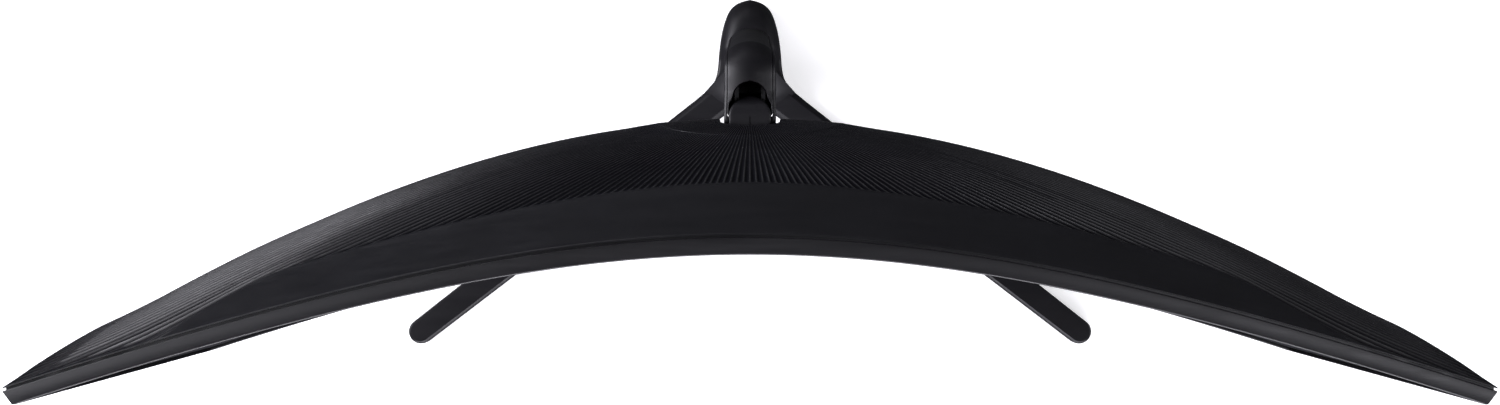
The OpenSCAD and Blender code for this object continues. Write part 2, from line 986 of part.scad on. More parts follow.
// Half width of the heel at each Y
heel = [
    [0, 136.5], [6, 135.6], [10.6, 133.4], [14.6, 130.4], [17.2, 126.8], [19.2, 121.5], [20.8, 116.6],
    [23.1, 106.4], [24.4, 96.3], [25.1, 86.1], [26.1, 76], [28.4, 70.5], [32.5, 65.8], [44, 56.4]
];

// Plan of one leg, drawn in by t
module leg_plan(t) {
    run = sqrt(1 + leg_slope * leg_slope);
    across = [leg_slope / run, 1 / run];
    root = [0, tip[1] + tip[0] * leg_slope];
    side = tip_r - t - 0.05;
    translate(tip)
        circle(r = tip_r - t);
    polygon([
        tip + across * side, tip - across * side,
        root - across * (root_half - t), root + across * (root_half - t)
    ]);
}

// Plan of the base, drawn in by t
module base_plan(t) {
    polygon(concat(
        [for (p = heel) [max(0, p[0] - t), p[1] - t * (p[1] > 125 ? 1 : 0)]],
        [for (i = [len(heel) - 1:-1:0]) [-max(0, heel[i][0] - t), heel[i][1] - t * (heel[i][1] > 125 ? 1 : 0)]]
    ));
    for (s = [0, 1])
        mirror([s, 0])
            leg_plan(t);
}

// Steel plate in the shape of the base
module base_core() {
    color([0.4, 0.41, 0.43])
        difference() {
            translate([0, 0, core_z[0]])
                linear_extrude(core_z[1] - core_z[0])
                    base_plan(2.8);
            translate([0, foot_y, 0])
                cylinder(r = 3.3, h = 20);
        }
}

// Plastic cover of the base, with a lower step round its top face
module base_cover() {
    color([0.1, 0.1, 0.11])
        difference() {
            union() {
                translate([0, 0, base_bottom])
                    linear_extrude(base_top - 1.5 - base_bottom)
                        base_plan(0);
                translate([0, 0, base_top - 1.6])
                    linear_extrude(1.6)
                        base_plan(1.3);
            }
            translate([0, 0, 0])
                linear_extrude(base_top - 2.2)
                    base_plan(2.4);
            translate([-foot_block / 2 - 0.4, foot_y - foot_block / 2 - 0.4, 0])
                cube([foot_block + 0.8, foot_block + 0.8, 40]);
        }
}

foot_at = [[0, 122], [-44, 41.6], [44, 41.6], [-261, -126.6], [261, -126.6]];

// Rubber feet under the steel plate
module base_feet() {
    color([0.05, 0.05, 0.05])
        for (p = foot_at)
            translate([p[0], p[1], 0])
                cylinder(r = 6.5, h = core_z[0]);
}

// Captive screw that clamps the column to the base
module base_thumbscrew() {
    color([0.6, 0.6, 0.62])
        translate([0, foot_y, 0]) {
            difference() {
                translate([0, 0, 2.2])
                    cylinder(r = 8.5, h = 3.7);
                translate([-7, -0.8, 1.2])
                    cube([14, 1.6, 2.2]);
                for (i = [0:23])
                    rotate([0, 0, 15 * i])
                        translate([8.7, 0, 1])
                            cylinder(r = 0.6, h = 6, $fn = 16);
            }
            cylinder(r = screw_r, h = 17);
        }
}

// ---------- what is drawn ----------

front_frame();
lcd_cell();
optical_sheets();
light_guide();
reflector_sheet();
mid_frame();
backlight_tray();
led_bar();
source_board();
timing_board();
flat_cable();
main_board();
board_shield();
board_screws();
display_port();
video_port();
audio_jack();
dc_inlet();
mount_bracket();
rear_cover();
cover_screws();
lock_plate();
power_lens();
joystick_switch();
joystick_yoke();
joystick_lever();
joystick_cap();
arm_plate();
arm_screws();
mount_cap();
neck_shell();
column_head();
hinge_shaft();
friction_washers();
shaft_nut();
column_core();
column_front_cover();
column_rear_cover();
base_core();
base_cover();
base_feet();
base_thumbscrew();
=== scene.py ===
"""Visual model of a curved desktop monitor on a V-legged stand.

Shapes are written in millimetres and turned into metres when a mesh is made.
The screen faces -Y, the back faces +Y, and the desk is Z = 0.
"""

import math

import bmesh
import bpy
import numpy as np
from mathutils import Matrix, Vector


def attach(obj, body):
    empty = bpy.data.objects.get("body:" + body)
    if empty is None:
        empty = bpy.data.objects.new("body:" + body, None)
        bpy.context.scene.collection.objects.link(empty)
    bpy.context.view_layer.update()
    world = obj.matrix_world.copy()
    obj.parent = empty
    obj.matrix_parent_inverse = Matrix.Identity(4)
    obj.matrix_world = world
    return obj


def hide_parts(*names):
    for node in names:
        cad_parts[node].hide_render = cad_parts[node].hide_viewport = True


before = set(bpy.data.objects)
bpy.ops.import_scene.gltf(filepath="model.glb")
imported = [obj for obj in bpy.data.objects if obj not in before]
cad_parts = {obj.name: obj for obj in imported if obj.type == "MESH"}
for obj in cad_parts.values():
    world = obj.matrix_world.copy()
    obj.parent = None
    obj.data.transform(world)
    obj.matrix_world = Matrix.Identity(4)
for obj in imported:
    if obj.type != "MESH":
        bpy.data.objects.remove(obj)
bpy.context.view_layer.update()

MM = 0.001

# ---------- sizes shared with the CAD model, in millimetres ----------

HEAD_BOTTOM = 112.7
HEAD_TOP = 475.2
MID_Z = (HEAD_BOTTOM + HEAD_TOP) / 2
HALF_H = (HEAD_TOP - HEAD_BOTTOM) / 2
FRONT_Y = -52.6
BEND_A = 108.6
BEND_B = 0.391
FRONT_HALF_W = 397.6
END_SLANT = 0.606
FRAME_DEPTH = 9.4
COVER_HALF_W = FRONT_HALF_W + END_SLANT * FRAME_DEPTH
COVER_START = 10.8
RIM_DEPTH = 11.5
BACK_DEPTH = 82
END_DEPTH = 34
BAND_H = 38
BAND_NARROWS = 8
CREASE_END = 278
BAND_END = 315.4
CREASE_DEPTH = 39.8
CREASE_LOSES = 9.6
CREASE_END_DEPTH = 30.2
CORNER_SOFT = 22
EASE_REACH = 36
EASE_STEP = 9
SPINE_SOFT = 0.12
SPINE_REACH = 0.8872
PIVOT_Y = 30
PIVOT_Z = 294
OPENING_R = 60

POCKET_HALF_W = 62
POCKET_TOP = 176
POCKET_Y = -35.5
POCKET_TALL = 60
SCREW_HOLE_R = 3.5
LOW_SCREWS = [(-372, 150), (372, 150), (-205, 137), (205, 137)]
LOCK_X, LOCK_Z = -124, 186
STICK_X, STICK_Z, STICK_TURN = 300, 142, -18
STICK_OUT = 21
STICK_HOLE_R = 9.5
SLOT_W, SLOT_H, SLOT_R = 38, 66, 18
SLOT_FRONT_Y = 12.5

BASE_TOP = 14
BASE_BOTTOM = 2
TIP = (261, -126.6)
TIP_R = 9.65
ROOT_HALF = 11.9
LEG_SLOPE = 0.775
HEEL = [
    (0, 136.5), (6, 135.6), (10.6, 133.4), (14.6, 130.4), (17.2, 126.8), (19.2, 121.5),
    (20.8, 116.6), (23.1, 106.4), (24.4, 96.3), (25.1, 86.1), (26.1, 76), (28.4, 70.5),
    (32.5, 65.8), (44, 56.4),
]
COLUMN_LEAN = math.radians(7.5)
FOOT_Z = 14.2
FOOT_Y = 64 + (275 - FOOT_Z) * math.tan(COLUMN_LEAN)


def bend_y(x):
    """Y of the front edge curve at x."""
    return FRONT_Y + BEND_A - np.sqrt(BEND_A**2 + (BEND_B * np.asarray(x, float)) ** 2)


def end_x(d):
    """Half width of the head's outline at a depth behind the front edge curve."""
    return FRONT_HALF_W + END_SLANT * min(d, FRAME_DEPTH)


def softened(x, shape):
    """A curve along x with its corners rounded off."""
    x = np.asarray(x, float)
    shifts = np.linspace(-CORNER_SOFT, CORNER_SOFT, 9)
    return np.mean([shape(np.abs(x + s)) for s in shifts], axis=0)


def crease_drop(x):
    """Height of the crease below the top edge."""
    return softened(x, sharp_crease_drop)


def sharp_crease_drop(a):
    """The same with sharp corners, at a distance from the middle."""
    slope = (BAND_H - BAND_NARROWS) * (BAND_END - a) / (BAND_END - CREASE_END)
    inner = BAND_H - BAND_NARROWS * a / CREASE_END
    return np.where(a < CREASE_END, inner, np.maximum(slope, 0))


def eased_depth(x, z):
    """Depth of the ribbed surface with the bend at the crease's corners smoothed out."""
    shifts = range(-EASE_REACH, EASE_REACH + 1, EASE_STEP)
    return np.mean([ribbed_depth(x + shift, z) for shift in shifts], axis=0)


def ribbed_depth(x, z):
    """Depth of the surface between the creases, carried on past them."""
    crease, middle = crease_depth(x), middle_depth(x)
    u = np.abs(z - MID_Z) / (HALF_H - crease_drop(x))
    straight = (np.sqrt(u * u + SPINE_SOFT**2) - SPINE_SOFT) / SPINE_REACH
    fall = 0.75 * straight + 0.25 * u * u
    return middle - (middle - crease) * fall


def crease_depth(x):
    """Depth of the crease behind the front edge curve."""
    return softened(x, sharp_crease_depth)


def sharp_crease_depth(a):
    """The same with sharp corners, at a distance from the middle."""
    outer_share = (BAND_END - a) / (BAND_END - CREASE_END)
    ramp = RIM_DEPTH + (CREASE_END_DEPTH - RIM_DEPTH) * outer_share
    inner = CREASE_DEPTH - CREASE_LOSES * (np.minimum(a, CREASE_END) / CREASE_END) ** 1.3
    return np.where(a < CREASE_END, inner, np.maximum(ramp, RIM_DEPTH))


def middle_depth(x):
    """Depth of the back at mid height."""
    return BACK_DEPTH - (BACK_DEPTH - END_DEPTH) * np.minimum(1, np.abs(x) / COVER_HALF_W) ** 2.3


def smooth(share):
    """Smooth step from 0 to 1."""
    return share * share * (3 - 2 * share)


def back_depth(x, z):
    """Depth of the smooth outer surface behind the front edge curve."""
    drop = HALF_H - np.abs(z - MID_Z)
    fall_at = crease_drop(x)
    band = RIM_DEPTH + (crease_depth(x) - RIM_DEPTH) * drop / np.maximum(fall_at, 1e-6)
    return np.where(drop < fall_at, band, ribbed_depth(x, z))


# ---------- meshes ----------


class Shell:
    """Grids of points gathered into one mesh."""

    def __init__(self):
        self.points = []
        self.faces = []

    def grid(self, rows, closed=False):
        """Faces between neighbouring rows of points. A closed grid joins each row's ends."""
        rows = np.asarray(rows, float)
        count, width = rows.shape[:2]
        first = sum(len(p) for p in self.points)
        index = first + np.arange(count * width).reshape(count, width)
        after = np.roll(index, -1, axis=1)
        if not closed:
            index, after = index[:, :-1], after[:, :-1]
        quads = np.stack([index[:-1], after[:-1], after[1:], index[1:]], axis=-1)
        self.points.append(rows.reshape(-1, 3))
        self.faces.append(quads.reshape(-1, 4))

    def cap(self, row):
        """One flat face inside a closed row of points."""
        first = sum(len(p) for p in self.points)
        self.points.append(np.asarray(row, float))
        self.faces.append([list(range(first, first + len(row)))])

    def bmesh(self, weld=0.02):
        """The mesh as a bmesh in millimetres, with doubled points joined."""
        bm = bmesh.new()
        verts = [bm.verts.new(p) for part in self.points for p in part]
        for part in self.faces:
            for face in part:
                bm.faces.new([verts[i] for i in face])
        bmesh.ops.remove_doubles(bm, verts=bm.verts[:], dist=weld)
        bmesh.ops.dissolve_degenerate(bm, edges=bm.edges[:], dist=weld / 2)
        bmesh.ops.recalc_face_normals(bm, faces=bm.faces[:])
        return bm


def make_piece(name, bm, body, slot, paint, replaced=(), sharp=32, toward=None):
    """Turns a bmesh in millimetres into a piece that rides on a body.

    toward is a direction that the faces of an open surface should look along, on the whole.
    """
    if toward is not None:
        total = sum((f.normal * f.calc_area() for f in bm.faces), Vector())
        if total.dot(Vector(toward)) < 0:
            bmesh.ops.reverse_faces(bm, faces=bm.faces[:])
    bmesh.ops.scale(bm, vec=(MM, MM, MM), verts=bm.verts[:])
    mesh = bpy.data.meshes.new(name)
    bm.to_mesh(mesh)
    bm.free()
    mesh.polygons.foreach_set("use_smooth", [True] * len(mesh.polygons))
    mesh.set_sharp_from_angle(angle=math.radians(sharp))
    obj = bpy.data.objects.new(name, mesh)
    bpy.context.scene.collection.objects.link(obj)
    mesh.materials.append(paint)
    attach(obj, body)
    if replaced:
        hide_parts(*replaced)
    return obj


def sink_prism(bm, centre, axis, outline, floor_at, reach, keep_above=-1e9):
    """Cuts a hole with a convex outline into the surface and gives it walls and a floor.

    outline is a list of points round the hole in the order of travel, measured in the plane
    square to the axis through centre. floor_at is the floor's place along the axis.
    """
    centre, axis = Vector(centre), Vector(axis).normalized()
    side = axis.cross(Vector((0, 0, 1))).normalized()
    up = side.cross(axis)
    corners = [centre + side * u + up * v for u, v in outline]
    middle = sum(corners, Vector()) / len(corners)
    planes = []
    for a, b in zip(corners, corners[1:] + corners[:1]):
        normal = axis.cross(b - a).normalized()
        if normal.dot(middle - a) > 0:
            normal.negate()
        planes.append((a, normal))

    def near(face):
        away = face.calc_center_median() - centre
        along = away.dot(axis)
        return along > keep_above and (away - axis * along).length < reach

    for point, normal in planes:
        faces = [f for f in bm.faces if near(f)]
        edges = {e for f in faces for e in f.edges}
        verts = {v for f in faces for v in f.verts}
        bmesh.ops.bisect_plane(
            bm, geom=list(verts) + list(edges) + faces, dist=1e-4, plane_co=point, plane_no=normal
        )
    inside = [
        f
        for f in bm.faces
        if near(f) and all((f.calc_center_median() - p).dot(n) < 1e-4 for p, n in planes)
    ]
    rim = {e for f in inside for e in f.edges}
    bmesh.ops.delete(bm, geom=inside, context="FACES")
    rim = [e for e in rim if e.is_valid and len(e.link_faces) == 1]
    made = bmesh.ops.extrude_edge_only(bm, edges=rim)["geom"]
    for v in (g for g in made if isinstance(g, bmesh.types.BMVert)):
        v.co += axis * (floor_at - (v.co - centre).dot(axis))
    floor = [g for g in made if isinstance(g, bmesh.types.BMEdge) and len(g.link_faces) == 1]
    bmesh.ops.holes_fill(bm, edges=floor, sides=0)
    bmesh.ops.recalc_face_normals(bm, faces=bm.faces[:])


def circle(radius, count=32):
    """Points round a circle."""
    turn = 2 * math.pi / count
    return [(radius * math.cos(turn * i), radius * math.sin(turn * i)) for i in range(count)]


def round_rect(w, h, r, per_corner=6):
    """Points round a rectangle with round corners, from the right side upwards."""
    points = []
    for k, (sx, sy) in enumerate([(1, 1), (-1, 1), (-1, -1), (1, -1)]):
        for i in range(per_corner + 1):
            a = math.pi / 2 * (k + i / per_corner)
            points.append((sx * (w / 2 - r) + r * math.cos(a), sy * (h / 2 - r) + r * math.sin(a)))
    return points


# ---------- materials ----------


class Paint:
    """A Principled material and short calls that add nodes to it."""

    def __init__(self, name, colour, roughness, metallic=0.0):
        self.colour = colour
        self.roughness = roughness
        self.material = bpy.data.materials.new(name)
        self.material.use_nodes = True
        self.tree = self.material.node_tree
        self.shader = self.tree.nodes["Principled BSDF"]
        self.feed(Base_Color=(*colour, 1), Roughness=roughness, Metallic=metallic)
        self.coords = self.add("TexCoord").outputs["Object"]
        self.height = None

    def plug(self, socket, value):
        """Links an output to a socket, or writes a plain value into it."""
        if isinstance(value, bpy.types.NodeSocket):
            self.tree.links.new(value, socket)
        else:
            socket.default_value = value

    def feed(self, node=None, **values):
        """Fills inputs of a node, or of the shader. Their names have _ for a space."""
        inputs = self.shader.inputs if node is None else node.inputs
        for name, value in values.items():
            self.plug(inputs[name.replace("_", " ")], value)

    def add(self, kind, **values):
        """New node with some of its inputs filled."""
        node = self.tree.nodes.new("ShaderNode" + kind)
        self.feed(node, **values)
        return node

    def noise(self, size_mm, detail=3, stretch=(1, 1, 1), roughness=0.55):
        """Noise with features of about size_mm, longer along an axis with a big stretch."""
        place = self.add("Mapping", Vector=self.coords, Scale=[1 / s for s in stretch]).outputs[0]
        node = self.add("TexNoise", Vector=place, Scale=1 / (size_mm * MM))
        self.feed(node, Detail=detail, Roughness=roughness)
        return node.outputs["Fac"]

    def cells(self, size_mm):
        """Voronoi cells of about size_mm."""
        node = self.add("TexVoronoi", Vector=self.coords, Scale=1 / (size_mm * MM))
        return node.outputs["Distance"]

    def spread(self, value, low, high, start=0.3, end=0.7):
        """Maps a texture from start..end to low..high."""
        node = self.add("MapRange", Value=value, From_Min=start, From_Max=end)
        self.feed(node, To_Min=low, To_Max=high)
        return node.outputs["Result"]

    def maths(self, operation, *values):
        """A sum on textures and plain numbers."""
        node = self.add("Math")
        node.operation = operation
        for socket, value in zip(node.inputs, values):
            self.plug(socket, value)
        return node.outputs[0]

    def mix(self, share, a, b):
        """Blend of two colours, each an output or a plain (r, g, b, 1)."""
        node = self.add("Mix")
        node.data_type = "RGBA"
        self.feed(node, Factor=share, A=a, B=b)
        return node.outputs["Result"]

    def ramp(self, value, stops):
        """Colours along a texture: [(place, colour)]."""
        node = self.add("ValToRGB", Fac=value)
        first, last = node.color_ramp.elements
        first.position, first.color = stops[0][0], (*stops[0][1], 1)
        last.position, last.color = stops[-1][0], (*stops[-1][1], 1)
        for place, colour in stops[1:-1]:
            node.color_ramp.elements.new(place).color = (*colour, 1)
        return node.outputs["Color"]

    def vary_colour(self, value, dark, light, start=0.35, end=0.65):
        """Colour from dark to light times the material's own."""
        stops = [(start, tint(self.colour, dark)), (end, tint(self.colour, light))]
        self.feed(Base_Color=self.ramp(value, stops))

    def vary_roughness(self, value, low, high):
        """Roughness from low to high added to the material's own."""
        self.feed(Roughness=self.spread(value, self.roughness + low, self.roughness + high))

    def bump(self, value, depth_mm, strength=1.0):
        """Adds relief of about depth_mm over the relief that is there."""
        node = self.add("Bump", Height=value, Strength=strength, Distance=depth_mm * MM)
        if self.height is not None:
            self.feed(node, Normal=self.height)
        self.height = node.outputs["Normal"]
        self.feed(Normal=self.height)


def tint(colour, factor):
    """A colour made darker or lighter."""
    return tuple(min(1, c * factor) for c in colour)


def moulded(name, colour, roughness, grain_mm=0.45, depth_mm=0.012, specular=0.5):
    """Moulded plastic: spark-eroded grain, slow gloss changes and faint rubbed scratches."""
    p = Paint(name, colour, roughness)
    p.feed(Specular_IOR_Level=specular)
    p.vary_colour(p.noise(46, detail=4), 0.88, 1.14)
    p.vary_roughness(p.noise(5, detail=5, stretch=(14, 1, 1), roughness=0.7), -0.05, 0.07)
    p.bump(p.cells(grain_mm), depth_mm, 0.5)
    p.bump(p.noise(grain_mm * 2.6, detail=4), depth_mm * 1.5, 0.4)
    return p.material


def ribbed_plastic(name, colour, ridge_highlight_colour, roughness):
    """Moulded plastic whose ridges are painted lighter as a painted highlight and made glossier,
    and whose valleys are dull with their specular taken out as painted shade.
    """
    p = Paint(name, colour, roughness)
    relief = p.add("Attribute")
    relief.attribute_name = "relief"
    relief = relief.outputs["Fac"]
    broad = p.noise(46, detail=4)
    # The ridges get a lighter colour as a painted highlight; valleys and smooth parts keep the
    # dark one.
    plain, ridge = (
        p.ramp(broad, [(0.35, tint(shade, 0.88)), (0.65, tint(shade, 1.14))])
        for shade in (colour, ridge_highlight_colour)
    )
    rubbed = p.noise(5, detail=5, stretch=(14, 1, 1), roughness=0.7)
    rubbed = p.spread(rubbed, roughness - 0.05, roughness + 0.07)
    # The relief makes the ridges glossier and takes the specular out of the valleys as painted
    # shade.
    p.feed(
        Base_Color=p.mix(relief, plain, ridge),
        Roughness=p.maths("MULTIPLY_ADD", relief, -0.12, rubbed),
        Specular_IOR_Level=p.spread(relief, 0, 1, -0.5, 0.7),
    )
    p.bump(p.cells(0.45), 0.008, 0.35)
    p.bump(p.noise(1.2, detail=4), 0.006, 0.3)
    return p.material


def steel(name, colour, roughness, grain=(1, 1, 40), depth_mm=0.004):
    """Cut or rolled metal with drawn lines along one axis and duller patches."""
    p = Paint(name, colour, roughness, metallic=1.0)
    lines = p.noise(0.35, detail=4, stretch=grain, roughness=0.7)
    p.vary_colour(p.noise(18, detail=5), 0.82, 1.1)
    p.vary_roughness(lines, -0.08, 0.12)
    p.bump(lines, depth_mm, 0.7)
    return p.material


def coated(name, colour, roughness):
    """Powder coat: a fine orange peel over metal."""
    p = Paint(name, colour, roughness)
    p.vary_colour(p.noise(20, detail=5), 0.85, 1.2)
    p.vary_roughness(p.noise(7, detail=4), -0.06, 0.08)
    p.bump(p.noise(0.7, detail=2), 0.03, 0.5)
    p.bump(p.cells(1.6), 0.02, 0.3)
    return p.material


def spangled(name, colour, roughness):
    """Zinc-plated sheet: large crystals with slightly different gloss and shade."""
    p = Paint(name, colour, roughness, metallic=1.0)
    crystals = p.cells(7)
    p.vary_colour(crystals, 0.78, 1.08, 0.1, 0.8)
    p.vary_roughness(crystals, -0.08, 0.14)
    p.bump(p.noise(1.2, detail=5), 0.006, 0.6)
    return p.material


def board(name, mask, copper):
    """Circuit board: solder mask over copper tracks, with bare pads."""
    p = Paint(name, mask, 0.38)
    p.feed(Coat_Weight=0.4)
    turn = p.add("Mapping", Vector=p.coords, Rotation=(math.pi / 2, 0, 0))
    tracks = p.add("TexBrick", Vector=turn.outputs[0], Scale=260, Mortar_Size=0.06)
    p.feed(tracks, Brick_Width=1.7, Row_Height=0.42)
    under = p.spread(tracks.outputs["Fac"], 0, 1, 0, 1)
    pads = p.cells(2.4)
    tracks_colour = p.ramp(under, [(0, mask), (1, tint(mask, 1.9))])
    pads_colour = p.ramp(pads, [(0.1, copper), (0.14, tint(mask, 1.1)), (1, tint(mask, 0.9))])
    p.feed(Base_Color=p.mix(0.5, tracks_colour, pads_colour))
    p.vary_roughness(p.noise(3, detail=4), -0.08, 0.1)
    p.bump(under, 0.03, 0.6)
    return p.material


def clear_sheet(name, colour, roughness, dot_mm):
    """Optical sheet or plate with its fine printed or moulded dots."""
    p = Paint(name, colour, roughness)
    p.feed(Transmission_Weight=0.35, IOR=1.49)
    p.vary_roughness(p.cells(dot_mm), -0.05, 0.12)
    p.vary_colour(p.noise(60, detail=2), 0.95, 1)
    p.bump(p.cells(dot_mm), 0.02, 0.4)
    return p.material


def rubber(name, colour):
    """Rubber with a dusty, lightly pitted skin."""
    p = Paint(name, colour, 0.82)
    p.vary_colour(p.noise(3, detail=6), 0.8, 1.7)
    p.vary_roughness(p.noise(2, detail=4), -0.1, 0.1)
    p.bump(p.noise(0.5, detail=4), 0.05, 0.7)
    return p.material


ACTIVE_HALF_W = 390
ACTIVE_HALF_H = 166.5
ACTIVE_MID_Z = 302.3
ACTIVE_FADE = 0.2


def screen_face(name):
    """Matte panel: a black printed border round the dark active area, with an anti-glare haze."""
    p = Paint(name, (0.01, 0.01, 0.012), 0.3)
    p.feed(Specular_IOR_Level=0.25)
    parts = p.add("SeparateXYZ", Vector=p.coords)
    across = p.maths("ABSOLUTE", parts.outputs["X"])
    height = p.maths("SUBTRACT", parts.outputs["Z"], ACTIVE_MID_Z * MM)
    height = p.maths("ABSOLUTE", height)
    beside = p.spread(across, 0, 1, (ACTIVE_HALF_W - ACTIVE_FADE) * MM, ACTIVE_HALF_W * MM)
    beyond = p.spread(height, 0, 1, (ACTIVE_HALF_H - ACTIVE_FADE) * MM, ACTIVE_HALF_H * MM)
    edge = p.maths("MAXIMUM", beside, beyond)
    dark, light = (0.0085, 0.009, 0.011), (0.012, 0.012, 0.015)
    active = p.ramp(p.noise(90, detail=2), [(0.3, dark), (0.7, light)])
    p.feed(Base_Color=p.mix(edge, active, (0.003, 0.003, 0.003, 1)))
    p.vary_roughness(p.noise(0.25, detail=2), -0.04, 0.06)
    p.bump(p.noise(0.18, detail=2), 0.003, 0.5)
    return p.material


CHARCOAL = (0.0062, 0.006, 0.0072)
DEEP_BLACK = (0.005, 0.005, 0.0062)
# Lighter black painted on the ribs' ridges as a painted highlight.
RIDGE_HIGHLIGHT_BLACK = (0.02, 0.0197, 0.021)
COPPER = (0.75, 0.5, 0.22)

bezel_plastic = moulded("bezel_plastic", CHARCOAL, 0.38, 0.4, 0.008)
cover_plastic = ribbed_plastic("cover_plastic", DEEP_BLACK, RIDGE_HIGHLIGHT_BLACK, 0.36)
cap_plastic = moulded("cap_plastic", CHARCOAL, 0.42, 0.35, 0.01)
neck_plastic = moulded("neck_plastic", (0.0065, 0.0062, 0.0078), 0.5, 0.45, 0.01, 0.25)
stand_plastic = moulded("stand_plastic", (0.0046, 0.0044, 0.0056), 0.45, 0.5, 0.01, 0.22)
inner_plastic = moulded("inner_plastic", (0.02, 0.02, 0.022), 0.55, 0.8, 0.02)
socket_plastic = moulded("socket_plastic", (0.012, 0.012, 0.012), 0.4, 0.3, 0.008)
switch_plastic = moulded("switch_plastic", (0.03, 0.03, 0.032), 0.5, 0.3, 0.01)
panel = screen_face("panel")
films = clear_sheet("films", (0.86, 0.87, 0.9), 0.35, 0.4)
acrylic = clear_sheet("acrylic", (0.82, 0.9, 0.91), 0.12, 1.6)
reflector = clear_sheet("reflector", (0.93, 0.93, 0.92), 0.5, 0.9)
ribbon = moulded("ribbon", (0.42, 0.2, 0.05), 0.45, 0.6, 0.01)
lens = clear_sheet("lens", (0.88, 0.9, 0.93), 0.25, 0.5)
tray_metal = spangled("tray_metal", (0.66, 0.67, 0.69), 0.38)
shield_metal = spangled("shield_metal", (0.7, 0.7, 0.71), 0.34)
led_strip = board("led_strip", (0.55, 0.56, 0.54), (0.9, 0.72, 0.3))
green_board = board("green_board", (0.008, 0.075, 0.03), COPPER)
black_board = board("black_board", (0.008, 0.012, 0.014), COPPER)
screw_zinc = steel("screw_zinc", (0.6, 0.6, 0.6), 0.3, (1, 1, 1), 0.006)
dark_screw = steel("dark_screw", (0.06, 0.06, 0.065), 0.42, (1, 1, 1), 0.006)
socket_metal = steel("socket_metal", (0.68, 0.67, 0.64), 0.26, (30, 1, 1))
bracket_steel = coated("bracket_steel", (0.03, 0.03, 0.032), 0.45)
hinge_steel = steel("hinge_steel", (0.55, 0.56, 0.58), 0.3, (1, 40, 1))
spring_steel = steel("spring_steel", (0.45, 0.45, 0.47), 0.22, (1, 30, 30))
core_steel = steel("core_steel", (0.42, 0.43, 0.45), 0.42, (1, 1, 60))
foot_rubber = rubber("foot_rubber", (0.014, 0.014, 0.014))

NODE_PAINT = {
    "front_frame": bezel_plastic, "lcd_cell": panel, "optical_sheets": films,
    "light_guide": acrylic, "reflector_sheet": reflector, "mid_frame": inner_plastic,
    "backlight_tray": tray_metal, "led_bar": led_strip, "source_board": green_board,
    "timing_board": green_board, "flat_cable": ribbon, "main_board": black_board,
    "board_shield": shield_metal, "board_screws": screw_zinc, "display_port": socket_metal,
    "video_port": socket_metal, "audio_jack": socket_plastic, "dc_inlet": socket_plastic,
    "mount_bracket": bracket_steel, "rear_cover": cover_plastic, "cover_screws": dark_screw,
    "lock_plate": shield_metal, "power_lens": lens, "joystick_switch": switch_plastic,
    "joystick_yoke": switch_plastic, "joystick_lever": switch_plastic,
    "joystick_cap": cap_plastic, "arm_plate": bracket_steel, "arm_screws": dark_screw,
    "mount_cap": cover_plastic, "neck_shell": neck_plastic, "column_head": bracket_steel,
    "hinge_shaft": hinge_steel, "friction_washers": spring_steel, "shaft_nut": screw_zinc,
    "column_core": core_steel, "column_front_cover": stand_plastic,
    "column_rear_cover": stand_plastic, "base_core": core_steel, "base_cover": stand_plastic,
    "base_feet": foot_rubber, "base_thumbscrew": screw_zinc,
}
EDGE_MM = 0.15
CAP_EDGE_MM = 0.6

for name, paint in NODE_PAINT.items():
    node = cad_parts[name]
    node.data.materials.clear()
    node.data.materials.append(paint)
    node.data.polygons.foreach_set("use_smooth", [True] * len(node.data.polygons))
    node.data.set_sharp_from_angle(angle=math.radians(28))
    bevel = node.modifiers.new("edge", "BEVEL")
    bevel.width = (CAP_EDGE_MM if name == "joystick_cap" else EDGE_MM) * MM
    bevel.segments = 2
    bevel.limit_method = "ANGLE"
    bevel.angle_limit = math.radians(35)
    bevel.harden_normals = True

# ---------- screen frame ----------


def frame_ring(side, bottom, top, d, along=96, up=16):
    """Closed ring round the head: insets from the outline at a depth."""
    half = end_x(d) - side
    low, high = HEAD_BOTTOM + bottom, HEAD_TOP - top
    xs = half * np.linspace(-1, 1, along + 1)
    zs = np.linspace(low, high, up + 1)
    plan = (
        [(x, high) for x in xs]
        + [(half, z) for z in zs[::-1][1:]]
        + [(x, low) for x in xs[::-1][1:]]
        + [(-half, z) for z in zs[1:-1]]
    )
    return [(x, float(bend_y(x)) + d, z) for x, z in plan]


def build_frame():
    """Bent bezel: rounded lip round the panel, flat face, rounded outer edge, rear flange."""
    shell = Shell()
    # insets at the sides, bottom and top, then the depth
    profile = [
        (5.0, 18.0, 4.0, 2.2), (5.0, 18.0, 4.0, 0.5), (4.85, 17.85, 3.85, 0.12),
        (4.5, 17.5, 3.5, 0), (2.6, 9, 2.2, 0), (1.1, 1.1, 1.1, 0), (0.55, 0.55, 0.55, 0.12),
        (0.16, 0.16, 0.16, 0.5), (0, 0, 0, 1.1), (0, 0, 0, 4.6), (0, 0, 0, 8.7),
        (0.12, 0.12, 0.12, 9.1), (0.5, 0.5, 0.5, 9.4), (6.5, 6.5, 6.5, 9.4), (6.5, 6.5, 6.5, 9.1),
        (2.2, 2.3, 2.2, 9.1), (2.2, 2.3, 2.2, 2.3), (5.0, 18.0, 4.0, 2.2),
    ]
    shell.grid([frame_ring(*p) for p in profile], closed=True)
    make_piece(
        "front_bezel", shell.bmesh(), "head", "frame_plastic", bezel_plastic, ["front_frame"], 50
    )


# ---------- rear cover ----------

RIBS = 240
RIB_STEPS = [(t, math.sin(math.pi * t)) for t in (0, 0.1, 0.28, 0.5, 0.72, 0.9)]
RIB_DEPTH = 0.36
RIB_DEPTH_MAX = 3.2
VALLEY_SHARE = 1.5
RIB_TURN = 2 * math.pi / RIBS
RING_GAP = 0.15
CREASE_STEP = 0.9
SEAM_INSET = 0.6
TONGUE_INSET = 1.6
SKIRT = 4
SOCKET_WALL = 2

